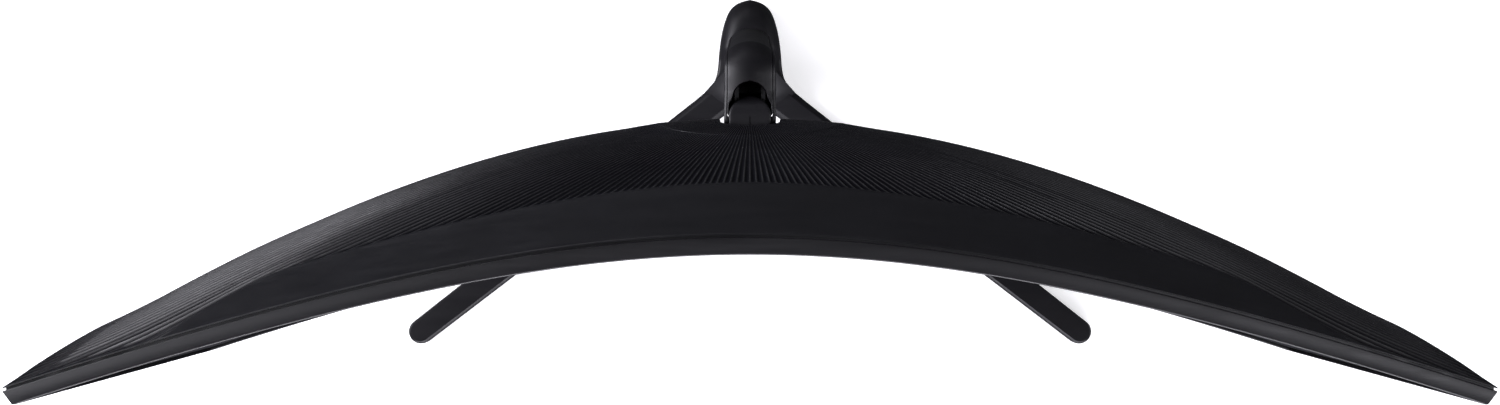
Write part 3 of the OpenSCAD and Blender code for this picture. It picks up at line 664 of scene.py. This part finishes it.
# display and video sockets, audio jack and power inlet
SOCKET_HOLES = [
    [(-55, -31.8), (-37, -31.8), (-37, -24.6), (-55, -24.6)],
    [(-24, -31.8), (-8, -31.8), (-8, -24.9), (-24, -24.9)],
    [(14 + x, -27 + y) for x, y in circle(4.2, 32)],
    [(43.5 + x, -26.1 + y) for x, y in circle(4.8, 32)],
]


def rib_angles():
    """Angles round the mount's centre, with some moved on to the outline's corners."""
    angles = np.array([RIB_TURN * (i + t) for i in range(RIBS) for t, _ in RIB_STEPS])
    centre_off = PIVOT_Z - MID_Z
    for x in (COVER_HALF_W, BAND_END + CORNER_SOFT):
        reach = HALF_H - float(crease_drop(x)) if x < COVER_HALF_W else HALF_H
        for sx in (-1, 1):
            for sz in (-1, 1):
                a = math.atan2(sz * reach - centre_off, sx * x) % (2 * math.pi)
                angles[np.argmin(np.abs(angles - a))] = a
    return np.sort(angles)


def edge_gap(x, z):
    """Distance inside the crease, measured along Z."""
    return HALF_H - crease_drop(x) - np.abs(z - MID_Z)


def outline_radius(angles):
    """Radius at which rays from the mount's centre reach the cover's outline."""
    c, s = np.cos(angles), np.sin(angles)
    up = np.where(s > 0, MID_Z + HALF_H - PIVOT_Z, PIVOT_Z - MID_Z + HALF_H)
    across = COVER_HALF_W / np.maximum(np.abs(c), 1e-9)
    return np.minimum(across, up / np.maximum(np.abs(s), 1e-9))


def first_crossing(angles, start, end, leaving):
    """Radius from start to end where a ray first leaves or enters the ribbed area."""
    out = end.copy()
    for j, a in enumerate(angles):
        r = np.linspace(start[j], end[j], 800)
        gap = edge_gap(r * math.cos(a), PIVOT_Z + r * math.sin(a))
        hit = np.nonzero(gap < 0 if leaving else gap > 0)[0]
        if len(hit):
            out[j] = r[hit[0]]
    return out


def cover_point(angles, r, height):
    """Points on the back at polar places, raised by a height."""
    x = r * np.cos(angles)
    z = PIVOT_Z + r * np.sin(angles)
    gap = np.minimum(COVER_HALF_W - np.abs(x), HALF_H - np.abs(z - MID_Z))
    e = np.clip(SEAM_INSET - gap, 0, SEAM_INSET)
    fillet = SEAM_INSET - np.sqrt(np.maximum(SEAM_INSET**2 - e**2, 0))
    depth = np.maximum(back_depth(x, z) + height - fillet * 0.6, COVER_START + 0.25)
    return np.stack([x, bend_y(x) + depth, z], axis=-1)


def mark_relief(obj):
    """Stores 1 on the ribs' ridges, -1 in their valleys and 0 where the surface is smooth; the
    cover's material paints the ridges lighter as a painted highlight and takes the specular out of
    the valleys as painted shade.
    """
    mesh = obj.data
    co = np.empty(len(mesh.vertices) * 3)
    mesh.vertices.foreach_get("co", co)
    x, _, z = co.reshape(-1, 3).T / MM
    share = np.arctan2(z - PIVOT_Z, x) / (2 * math.pi) * RIBS % 1
    fade = np.clip((edge_gap(x, z) - 0.8) / 5, 0, 1)
    fade *= np.clip((COVER_HALF_W - np.abs(x)) / 5, 0, 1)
    relief = mesh.attributes.new("relief", "FLOAT", "POINT")
    sunk = np.minimum(VALLEY_SHARE * np.sin(math.pi * share), 1)
    relief.data.foreach_set("value", (1 - 2 * sunk) * fade)


def open_sockets(bm):
    """Replaces the pocket's ceiling with one that has the sockets' cut-outs in it."""
    ceiling = [f for f in bm.faces if all(abs(v.co.z - POCKET_TOP) < 0.01 for v in f.verts)]
    edges = {e for f in ceiling for e in f.edges}
    outline = [e for e in edges if sum(f in ceiling for f in e.link_faces) == 1]
    bmesh.ops.delete(bm, geom=ceiling, context="FACES")
    loops = []
    for shape in SOCKET_HOLES:
        verts = [bm.verts.new((x, y, POCKET_TOP)) for x, y in shape]
        loops += [bm.edges.new(pair) for pair in zip(verts, verts[1:] + verts[:1])]
    bmesh.ops.triangle_fill(
        bm, use_beauty=True, use_dissolve=False, edges=outline + loops, normal=(0, 0, -1)
    )
    made = bmesh.ops.extrude_edge_only(bm, edges=loops)["geom"]
    for v in (g for g in made if isinstance(g, bmesh.types.BMVert)):
        v.co.z += SOCKET_WALL
    bmesh.ops.recalc_face_normals(bm, faces=bm.faces[:])


def cut_openings(bm):
    """Screw recesses, lock slot, joystick recess and port pocket."""
    for x, z in LOW_SCREWS:
        y = float(bend_y(x) + back_depth(x, z))
        sink_prism(bm, (x, y, z), (0, 1, 0), circle(SCREW_HOLE_R), -4, 20, -12)
    y = float(bend_y(LOCK_X) + back_depth(LOCK_X, LOCK_Z))
    sink_prism(bm, (LOCK_X, y, LOCK_Z), (0, 1, 0), round_rect(7.4, 3.4, 1.2), -4.5, 20, -12)
    turn = math.radians(STICK_TURN)
    axis = Vector((-math.sin(turn), math.cos(turn), 0))
    centre = Vector((STICK_X, float(bend_y(STICK_X)), STICK_Z)) + axis * STICK_OUT
    sink_prism(bm, centre, axis, circle(STICK_HOLE_R, 48), -4.5, 26, -14)
    w = POCKET_HALF_W
    pocket = [(-w, -POCKET_TALL), (w, -POCKET_TALL), (w, 0), (-w, 0)]
    sink_prism(bm, (0, POCKET_Y, POCKET_TOP), (0, 1, 0), pocket, 0, 140, 1)
    open_sockets(bm)


def build_cover():
    """Back: fan of ribs round the mount, smooth bands above and below, rounded rim and seam.

    The rows run outwards along the rays. Those that meet the crease leave the ribs there, cross
    the smooth band and, near the ends of the crease, enter the ribs again.
    """
    angles = rib_angles()
    n = len(angles)
    outer = outline_radius(angles)
    inner = np.full(n, OPENING_R + RING_GAP)
    leave = first_crossing(angles, inner, outer, True)
    crossing = leave < outer - 0.5
    short = np.minimum(CREASE_END / np.maximum(np.abs(np.cos(angles)), 1e-9), outer)
    leave = np.where(crossing, leave, short)
    enter = leave.copy()
    enter[crossing] = first_crossing(
        angles[crossing], leave[crossing] + 0.6, outer[crossing], False
    )
    phase = np.array([RIB_STEPS[j % len(RIB_STEPS)][1] for j in range(n)])

    def ribbed(r):
        """Height of the ribbed surface: below the smooth one, level with it at the crease."""
        x, z = r * np.cos(angles), PIVOT_Z + r * np.sin(angles)
        inside = np.clip(edge_gap(x, z), 0, None)
        rim = np.clip(COVER_HALF_W - np.abs(x), 0, None)
        fade = smooth(np.clip((inside - 0.8) / 7, 0, 1) * np.clip(rim / 5, 0, 1))
        fade = fade * np.clip((r - OPENING_R - 0.6) / 1.5, 0, 1)
        strong = 0.4 + 0.6 * np.clip((r - OPENING_R) / 190, 0, 1)
        depth = np.minimum(RIB_DEPTH * RIB_TURN * r, RIB_DEPTH_MAX) * strong * fade * phase
        near_crease = np.clip(inside / 0.7, 0, 1) * np.clip((BAND_END - np.abs(x)) / 40, 0, 1)
        step = CREASE_STEP * near_crease * np.clip((r - OPENING_R - 1) / 12, 0, 1)
        eased = eased_depth(x, z) - back_depth(x, z)
        return eased * smooth(np.clip((inside - 4) / 45, 0, 1)) - depth - step

    fan = [inner + (leave - 9 - inner) * s for s in np.linspace(0, 1, 18) ** 0.85]
    fan += [leave - back for back in (6.5, 4.4, 2.8, 1.7, 0.9)]
    rows = [cover_point(angles, r, ribbed(r)) for r in fan]
    width = enter - leave
    k = np.clip(width / 6, 0, 1)
    ending = np.clip((BAND_END - 10 - leave * np.abs(np.cos(angles))) / 50, 0, 1)
    for off, high in [(0, 0), (0.4, 0.22), (1.0, 0.3), (2.4, 0)]:
        r = leave + off * k
        flush = ribbed(r) * (width < 0.01)
        rows.append(cover_point(angles, r, np.where(width > 1, high * ending, flush)))
    band = [leave + 2.4 * k + (width - 5.0 * k) * s for s in (0.2, 0.4, 0.6, 0.8)]
    band += [enter - off * k for off in (2.4, 1.2, 0.7, 0.3, 0)]
    rows += [cover_point(angles, r, np.where(width > 1, 0, ribbed(r))) for r in band]
    rest = outer - enter
    k = np.clip(rest / 8, 0, 1)
    outside = [enter + off * k for off in (0.9, 1.8, 3.2)]
    outside += [enter + 3.2 * k + (rest - 5.2 * k) * s for s in np.linspace(0.08, 1, 11)]
    outside += [outer - off * k for off in (0.6, 0.3, 0.1, 0)]
    rows += [cover_point(angles, r, ribbed(r)) for r in outside]
    rim = rows[-1]
    for share in (0.35, 0.7, 1.0):
        wall = rim.copy()
        wall[:, 1] += (bend_y(rim[:, 0]) + COVER_START - rim[:, 1]) * share
        rows.append(wall)
    tucked = rows[-1].copy()
    tucked[:, 0] *= (COVER_HALF_W - TONGUE_INSET) / COVER_HALF_W
    tucked[:, 2] = MID_Z + (tucked[:, 2] - MID_Z) * (HALF_H - TONGUE_INSET) / HALF_H
    tucked[:, 1] = bend_y(tucked[:, 0]) + COVER_START
    tongue = tucked.copy()
    tongue[:, 1] -= COVER_START - FRAME_DEPTH - 0.05
    skirt = rows[0].copy()
    skirt[:, 1] -= SKIRT
    shell = Shell()
    shell.grid([skirt] + rows + [tucked, tongue], closed=True)
    bm = shell.bmesh()
    cut_openings(bm)
    mark_relief(
        make_piece("ribbed_cover", bm, "head", "cover_plastic", cover_plastic, ["rear_cover"], 62)
    )


# ---------- mount cap ----------


def slot_radius(angle):
    """Distance from the middle of the neck's slot to its rounded outline."""
    c, z = abs(math.cos(angle)), abs(math.sin(angle))
    half_w, half_h = SLOT_W / 2, SLOT_H / 2
    lo, hi = 0.0, half_h + 1
    for _ in range(40):
        r = (lo + hi) / 2
        over_x, over_z = r * c - (half_w - SLOT_R), r * z - (half_h - SLOT_R)
        if max(over_x, 0) ** 2 + max(over_z, 0) ** 2 < SLOT_R**2:
            lo = r
        else:
            hi = r
    return lo


def build_mount_cap():
    """Round cap flush with the back: the ribs run on over it to a tall slot for the neck."""
    angles = np.array([RIB_TURN * (i + t) for i in range(RIBS) for t, _ in RIB_STEPS])
    phase = np.array([p for _ in range(RIBS) for _, p in RIB_STEPS])
    inner = np.array([slot_radius(a) for a in angles])
    outer = OPENING_R - RING_GAP

    def row(r, sink, y=None):
        x, z = r * np.cos(angles), PIVOT_Z + r * np.sin(angles)
        fade = np.clip((r - inner - 1.2) / 5, 0, 1) * np.clip((outer - 0.6 - r) / 1.5, 0, 1)
        depth = 0.4 * RIB_DEPTH * RIB_TURN * r * fade * phase
        surface = bend_y(x) + back_depth(x, z) - sink - depth
        return np.stack([x, surface if y is None else np.full(len(x), y), z], axis=-1)

    rows = [row(inner, 0, SLOT_FRONT_Y), row(inner, 5), row(inner, 1)]
    rows += [row(inner + 0.3, 0.3), row(inner + 1, 0)]
    rows += [row(inner + 1.2 + (outer - 1.8 - inner) * s, 0) for s in np.linspace(0.05, 0.95, 12)]
    rows += [row(outer - 0.6, 0), row(outer - 0.1, 0.02), row(outer, 0.15), row(outer, 5)]
    shell = Shell()
    shell.grid(rows, closed=True)
    mark_relief(
        make_piece(
            "mount_ring", shell.bmesh(), "head", "cover_plastic", cover_plastic, ["mount_cap"], 62
        )
    )


# ---------- neck ----------

NECK_R = 13.4
NECK_FRONT_Y = 11.6
NECK_CUT = 4
NECK_LIP = 3.4
NECK_LIP_HALF = 7
TUBE_END_Y = PIVOT_Y - 9


def build_neck():
    """Neck with an arched end over the tilt shaft, open behind and below for the ears."""
    plan = [(NECK_R * math.cos(a), NECK_R * math.sin(a)) for a in np.linspace(0, math.pi, 49)]
    ahead = NECK_FRONT_Y - PIVOT_Y
    plan += [(-NECK_R, ahead * s) for s in np.linspace(0.1, 1, 9)]
    plan += [(NECK_R, ahead * s) for s in np.linspace(1, 0.1, 9)]
    plan = np.array(plan)

    def row(scale, drop):
        x = plan[:, 0] * scale
        y = np.where(plan[:, 1] > 0, plan[:, 1] * scale, plan[:, 1])
        back = np.clip(y, 0, NECK_R)
        top = np.maximum(np.sqrt(NECK_R**2 - back**2), NECK_LIP + 1.5)
        return np.stack([x, PIVOT_Y + y, PIVOT_Z + top - drop], axis=-1)

    foot = row(1, 0)
    foot[:, 2] = PIVOT_Z + np.where(np.abs(plan[:, 0]) < NECK_LIP_HALF, NECK_LIP, NECK_CUT)
    foot[:, 2] = np.where(plan[:, 1] < 0, PIVOT_Z + NECK_CUT, foot[:, 2])
    inside = foot.copy()
    inside[:, 0] *= 0.9
    edge = [(1, 1.4), (0.995, 0.9), (0.975, 0.4), (0.94, 0.1), (0.89, 0)]
    rows = [inside, foot] + [row(scale, drop) for scale, drop in edge]
    rows += [row(s, 0) for s in np.linspace(0.78, 0.02, 9)]
    shell = Shell()
    shell.grid(rows, closed=True)
    tube = np.array(round_rect(2 * NECK_R, 2 * NECK_R, 3.2))
    shell.grid(
        [
            [(x * k, y, PIVOT_Z + z * k) for x, z in tube]
            for y, k in [
                (NECK_FRONT_Y, 1.03), (NECK_FRONT_Y + 0.8, 1.0), (TUBE_END_Y - 0.8, 0.995),
                (TUBE_END_Y, 0.96), (TUBE_END_Y, 0.87), (NECK_FRONT_Y + 1, 0.87),
            ]
        ],
        closed=True,
    )
    make_piece(
        "neck_cover", shell.bmesh(0.01), "head", "cover_plastic", neck_plastic, ["neck_shell"], 40
    )


# ---------- column ----------

# body, slot and paint of the stand's skins
STAND_SKIN = ("stand", "stand_plastic", stand_plastic)
COLUMN_HALF_W = 16.5
CHEEK_R = 13
CHEEK_IN = 13.55
NOTCH_R = 11.2
NOTCH_Y = 41.1
NOTCH_FLARE = 1.9
NOTCH_TOP = 305.4
NOTCH_FLOOR = 272
PANEL_HALF = 14.2
STRIP_IN = 14.45
SEAM_DEEP = 1.4
CROWN_TOP_R = 27
CROWN_REAR_R = 19.5
REAR_OUT = 16
SIDE_R = 1.3
FRONT_FILLET = 2.5
CHEEK_STEPS = 34
NECK_LENGTH = 29
CROWN_RISE = 2
COLUMN_FRONT = [(FOOT_Y - 16.5, FOOT_Z), (49, 268), (42, 281)]


def column_rear(z):
    """Y of the column's rear line at a height."""
    return FOOT_Y - (z - FOOT_Z) * math.tan(COLUMN_LEAN) + REAR_OUT / math.cos(COLUMN_LEAN)


def column_path():
    """Side profile over the middle: points [y, z], outward directions and crown radii."""
    pts = []
    for a in np.radians(np.linspace(268, 92, CHEEK_STEPS)):
        pts.append((PIVOT_Y + CHEEK_R * math.cos(a), PIVOT_Z + CHEEK_R * math.sin(a)))
    for s in np.linspace(0.02, 0.98, 60):
        rise = CROWN_RISE * math.sin(math.pi / 2 * s)
        pts.append((PIVOT_Y + 0.4 + NECK_LENGTH * s, PIVOT_Z + CHEEK_R + rise))
    arc_y, arc_z, arc_r = 57.5, 286.8, 22.2
    for a in np.radians(np.linspace(82, -2, 30)):
        pts.append((arc_y + arc_r * math.cos(a), arc_z + arc_r * math.sin(a)))
    for z in np.linspace(278, FOOT_Z, 40):
        pts.append((column_rear(z), z))
    pts = np.array(pts)
    for _ in range(6):
        before, after = pts[CHEEK_STEPS + 1 : -3], pts[CHEEK_STEPS + 3 : -1]
        pts[CHEEK_STEPS + 2 : -2] = 0.25 * before + 0.5 * pts[CHEEK_STEPS + 2 : -2] + 0.25 * after
    step = np.gradient(pts, axis=0)
    step /= np.linalg.norm(step, axis=1)[:, None]
    out = np.stack([-step[:, 1], step[:, 0]], axis=-1)
    share = np.clip((pts[:, 0] - 62) / 16, 0, 1)
    radius = CROWN_TOP_R + (CROWN_REAR_R - CROWN_TOP_R) * smooth(share)
    gain = 0.22 + 0.78 * np.clip((pts[:, 0] - 30) / 16, 0, 1)
    gain[:CHEEK_STEPS] = 0.22
    return pts, out, radius, gain


def notch_half(y):
    """Half width of the opening for the neck at y, zero behind it."""
    if y >= NOTCH_Y + NOTCH_R:
        return 0.0
    round_half = math.sqrt(NOTCH_R**2 - max(y - NOTCH_Y, 0) ** 2)
    share = min(1, max(0, (NOTCH_Y + NOTCH_FLARE - y) / 6))
    return round_half + (CHEEK_IN - NOTCH_R) * smooth(share)


def crown_point(k, x, path, sink):
    """Point of the column's crowned surface at path point k and a distance across."""
    pts, out, radius, gain = path
    r = radius[k]
    drop = (r - math.sqrt(r * r - x * x)) * gain[k] + sink
    y, z = pts[k] - out[k] * drop
    return (x, y, z)


def build_column():
    """Column: a crowned panel over the top and down the rear, and a shell with side walls."""
    path = column_path()
    pts = path[0]
    count = len(pts)
    panel = Shell()
    shell = Shell()
    for side in (-1, 1):
        rows = []
        for k in range(CHEEK_STEPS, count):
            start = notch_half(pts[k][0])
            inner = min(start + 0.35, PANEL_HALF - 0.4) if start > 0 else 0.7
            places = [(start, 4), (start, 0.35)] if start > 0 else [(0, 0), (0, 0)]
            places += [(x, 0) for x in np.linspace(inner, PANEL_HALF - 0.3, 12)]
            places += [(PANEL_HALF - 0.08, 0.07), (PANEL_HALF, 0.3), (PANEL_HALF, SEAM_DEEP)]
            rows.append([crown_point(k, side * x, path, sink) for x, sink in places])
        panel.grid(rows)
        rows = []
        for k in range(count):
            inner, deep = (STRIP_IN, SEAM_DEEP) if k >= CHEEK_STEPS else (CHEEK_IN, 5)
            places = [(inner, deep), (inner, 0.3), (inner + 0.1, 0.07)]
            places += [(x, 0) for x in np.linspace(inner + 0.35, 15.1, 3)]
            for a in np.radians([25, 50, 75, 90]):
                x = COLUMN_HALF_W - SIDE_R * (1 - math.sin(a))
                places.append((x, SIDE_R * (1 - math.cos(a))))
            rows.append([crown_point(k, side * x, path, sink) for x, sink in places])
        shell.grid(rows)
        edge = [row[-1] for row in rows]
        setback = [(y + FRONT_FILLET, z) for y, z in COLUMN_FRONT]
        shell.cap(edge + [(side * COLUMN_HALF_W, y, z) for y, z in setback])
        turn = []
        for a in np.radians(np.linspace(0, 90, 7)):
            x = side * (COLUMN_HALF_W - FRONT_FILLET * (1 - math.cos(a)))
            out = FRONT_FILLET * (1 - math.sin(a))
            turn.append([(x, y + out, z) for y, z in COLUMN_FRONT])
        turn.append([(0, y, z) for y, z in COLUMN_FRONT])
        shell.grid(turn)
        cheek = [(side * CHEEK_IN, y, z) for y, z in pts[: CHEEK_STEPS + 1]]
        middle = [(side * CHEEK_IN, PIVOT_Y + 12, PIVOT_Z - 4)] * len(cheek)
        shell.grid([cheek, middle])
    # wall and floor of the notch
    ys = [NOTCH_Y - 9 + i for i in range(9)]
    ys += [NOTCH_Y + NOTCH_R * math.sin(a) for a in np.radians(np.linspace(0, 90, 21))]
    rim = [(notch_half(y), y) for y in ys]
    rim += [(-x, y) for x, y in reversed(rim[:-1])]
    levels = (NOTCH_TOP, 298, 290, 281, NOTCH_FLOOR)
    panel.grid([[(x, y, z) for x, y in rim] for z in levels])
    panel.cap([(x, y, NOTCH_FLOOR) for x, y in rim])
    make_piece("column_panel", panel.bmesh(), *STAND_SKIN, ["column_rear_cover"], 34)
    make_piece("column_shell", shell.bmesh(), *STAND_SKIN, ["column_front_cover"], 34)


# ---------- base ----------

OUTLINE_STEP = 2.2
CORNER_POINTS = 6
CORNER_EASE = 1.6


def leg_side(offset):
    """Ends of a line along the right leg, offset towards the rear: [root, tip]."""
    run = math.hypot(1, LEG_SLOPE)
    across = (LEG_SLOPE / run, 1 / run)
    root = (across[0] * offset[0], TIP[1] + TIP[0] * LEG_SLOPE + across[1] * offset[0])
    tip = (TIP[0] + across[0] * offset[1], TIP[1] + across[1] * offset[1])
    return root, tip


def base_outline():
    """Right half of the base's outline from the heel to the inner corner, with bevel widths."""
    points = []
    heel = np.array(HEEL)
    for a, b in zip(heel[:-1], heel[1:]):
        pieces = max(1, int(np.linalg.norm(b - a) / OUTLINE_STEP))
        points += [tuple(a + (b - a) * i / pieces) for i in range(pieces)]
    eased = np.array(points)
    for _ in range(5):
        eased[1:-1] = 0.25 * eased[:-2] + 0.5 * eased[1:-1] + 0.25 * eased[2:]
    points = [tuple(p) for p in eased]
    widths = [1.8 + 2.6 * min(1, max(0, (112 - p[1]) / 40)) for p in points]
    _, tip = leg_side((ROOT_HALF, TIP_R))
    start = np.array(HEEL[-1])
    run = np.array(tip) - start
    for s in np.linspace(0, 1, 40)[:-1]:
        points.append(tuple(start + run * s))
        widths.append(4.4 - 3.4 * min(1, s * 1.15))
    away = math.atan2(1, LEG_SLOPE)
    for a in np.linspace(away, away - math.pi, 25):
        points.append((TIP[0] + TIP_R * math.cos(a), TIP[1] + TIP_R * math.sin(a)))
        widths.append(1.0 + 1.2 * (away - a) / math.pi)
    root, tip = leg_side((-ROOT_HALF, -TIP_R))
    run = np.array(root) - np.array(tip)
    stop = tip[0] / (tip[0] - root[0])
    for s in np.linspace(0, stop, 48)[1:]:
        points.append(tuple(np.array(tip) + run * s))
        widths.append(2.2 + 2.6 * max(0, s / stop - 0.6) / 0.4)
    points[-1] = (0.0, points[-1][1])
    # ease the inner corner
    half = np.array(points)
    for i in range(1, CORNER_POINTS + 1):
        half[i - CORNER_POINTS - 1, 1] -= CORNER_EASE * (i / CORNER_POINTS) ** 2
    return [tuple(p) for p in half], widths


def build_base():
    """Base: rounded bar section whose bevels widen from the tips to the heel."""
    half, widths = base_outline()
    ring = half + [(-x, y) for x, y in half[-2:0:-1]]
    widths = widths + widths[-2:0:-1]
    ring = np.array(ring)
    widths = np.array(widths)
    tangent = np.roll(ring, -1, axis=0) - np.roll(ring, 1, axis=0)
    tangent /= np.linalg.norm(tangent, axis=1)[:, None]
    inward = np.stack([tangent[:, 1], -tangent[:, 0]], axis=-1)
    if (inward[0] * (np.array([0, 80]) - ring[0])).sum() < 0:
        inward = -inward
    rows = []
    # inset, inset in bevel widths, height, drop in bevel widths
    for inset, wide, z, low in [
        (2.4, 0, BASE_BOTTOM, 0), (0.6, 0, BASE_BOTTOM, 0), (0.1, 0, BASE_BOTTOM + 0.5, 0),
        (0, 0, BASE_BOTTOM + 1.6, 0), (0, 0, BASE_TOP, 1.05), (0, 0.05, BASE_TOP, 0.93),
        (0, 0.5, BASE_TOP, 0.47), (0, 0.93, BASE_TOP, 0.05), (0, 1.02, BASE_TOP, 0.008),
        (0, 1.12, BASE_TOP, 0),
    ]:
        plan = ring + inward * (inset + widths * wide)[:, None]
        height = z - widths * low
        rows.append(np.column_stack([plan, height]))
    shell = Shell()
    shell.grid(rows, closed=True)
    shell.cap(rows[-1])
    shell.cap(rows[0])
    make_piece("base_shell", shell.bmesh(), *STAND_SKIN, ["base_cover"], 40)


DOME_TOP = 34
DOME_Y = 92
DOME_REACH_MAX = 46
DOME_AHEAD = 27.5
DOME_INSET = 0.9
FOOT_HALF_W = 15.6
FOOT_REAR, FOOT_AHEAD = 18.5, 9


def build_heel():
    """Domed heel that rises from the base's rim to the foot of the column."""
    half, _ = base_outline()
    outline = np.array([p for p in half if p[1] > 40][:60])
    outline = np.concatenate([outline, outline[::-1] * [-1, 1]])
    polar = np.arctan2(outline[:, 1] - DOME_Y, outline[:, 0])
    reach = np.hypot(outline[:, 1] - DOME_Y, outline[:, 0])
    order = np.argsort(polar)
    turns = np.linspace(-math.pi, math.pi, 121)[:-1]
    c, s = np.cos(turns), np.sin(turns)
    wide = np.interp(turns, polar[order], reach[order], period=2 * math.pi) - DOME_INSET
    wide = np.minimum(wide, DOME_REACH_MAX)
    front = smooth(np.clip((-s + 0.28) / 0.5, 0, 1))
    ahead = -s - 0.764 * np.abs(c)
    wide = np.where(ahead > 0.1, np.minimum(wide, DOME_AHEAD / np.maximum(ahead, 0.1)), wide)
    foot_x = FOOT_HALF_W * c
    foot_y = np.where(s > 0, FOOT_REAR, FOOT_AHEAD) * s
    start = BASE_TOP - 2.0 * (1 - front) - 0.4 * front
    rows = []
    for t in np.linspace(0, 1, 22) ** 1.4:
        round_rise = math.sqrt(max(0, 1 - (1 - t) ** 2))
        rise = (1 - front) * round_rise + front * smooth(t)
        x = wide * c * (1 - t) + foot_x * t
        y = DOME_Y + wide * s * (1 - t) + foot_y * t
        rows.append(np.stack([x, y, start + (DOME_TOP - start) * rise], axis=-1))
    shell = Shell()
    shell.grid(rows, closed=True)
    make_piece("heel_dome", shell.bmesh(), *STAND_SKIN, (), 50, (0, 0, 1))


build_frame()
build_cover()
build_mount_cap()
build_neck()
build_column()
build_base()
build_heel()

# ---------- floor, light and camera ----------


def floor_material():
    """Pale desk that glows a little, so that it stays white."""
    p = Paint("floor_paint", (0.9, 0.9, 0.9), 0.6)
    greys = [(0.35, (0.89, 0.89, 0.89)), (0.65, (0.91, 0.91, 0.91))]
    p.feed(Base_Color=p.ramp(p.noise(300, detail=3), greys))
    p.bump(p.noise(3, detail=3), 0.02, 0.2)
    p.feed(Emission_Color=(1, 1, 1, 1), Emission_Strength=0.5)
    return p.material


def add_floor():
    """Large desk, kept out of glossy reflections on the black plastic."""
    half = 4.0
    mesh = bpy.data.meshes.new("floor")
    corners = [(-half, -half, 0), (half, -half, 0), (half, half, 0), (-half, half, 0)]
    mesh.from_pydata(corners, [], [(0, 1, 2, 3)])
    mesh.materials.append(floor_material())
    floor = bpy.data.objects.new("floor", mesh)
    floor.visible_glossy = False
    bpy.context.scene.collection.objects.link(floor)


def add_area(name, place, target, size, power):
    """Soft box that looks at a target."""
    data = bpy.data.lights.new(name, "AREA")
    data.shape = "RECTANGLE"
    data.size, data.size_y = size
    data.energy = power
    data.color = (0.94, 0.93, 1)
    light = bpy.data.objects.new(name, data)
    light.location = place
    aim = Vector(target) - Vector(place)
    light.rotation_euler = aim.to_track_quat("-Z", "Y").to_euler()
    bpy.context.scene.collection.objects.link(light)


def add_camera():
    """Camera straight above, looking down."""
    data = bpy.data.cameras.new("camera")
    data.lens = 43.67
    data.sensor_width = 36
    camera = bpy.data.objects.new("camera", data)
    camera.location = (0, -0.0243, 1.456)
    camera.rotation_euler = (0, 0, 0)
    bpy.context.scene.collection.objects.link(camera)
    bpy.context.scene.camera = camera


add_floor()
add_area("left_box", (-2.3, 0.5, 0.95), (0, 0, 0.2), (1.2, 2.2), 150)
add_area("right_box", (2.6, 0, 0.8), (0, 0, 0.2), (1.2, 2.0), 45)
add_area("left_rear_box", (-1.6, 1.9, 1.0), (-0.2, 0, 0.35), (2.4, 0.4), 13)
add_area("left_top_box", (-1.45, -0.1, 2.4), (-0.3, 0, 0.4), (0.5, 1.5), 8)
add_area("right_top_box", (1.45, -0.1, 2.4), (0.3, 0, 0.4), (0.5, 1.5), 13)
add_area("rear_box", (0, 2.8, 0.9), (0, 0, 0.2), (2.6, 0.8), 3)
add_area("front_box", (0, -2.8, 0.7), (0, 0, 0.1), (4.2, 0.8), 225)
world = bpy.data.worlds.new("world")
world.use_nodes = True
sky = world.node_tree.nodes["Background"]
sky.inputs["Color"].default_value = (0.9, 0.92, 1, 1)
sky.inputs["Strength"].default_value = 0.05
bpy.context.scene.world = world
bpy.context.scene.view_settings.view_transform = "Standard"
add_camera()
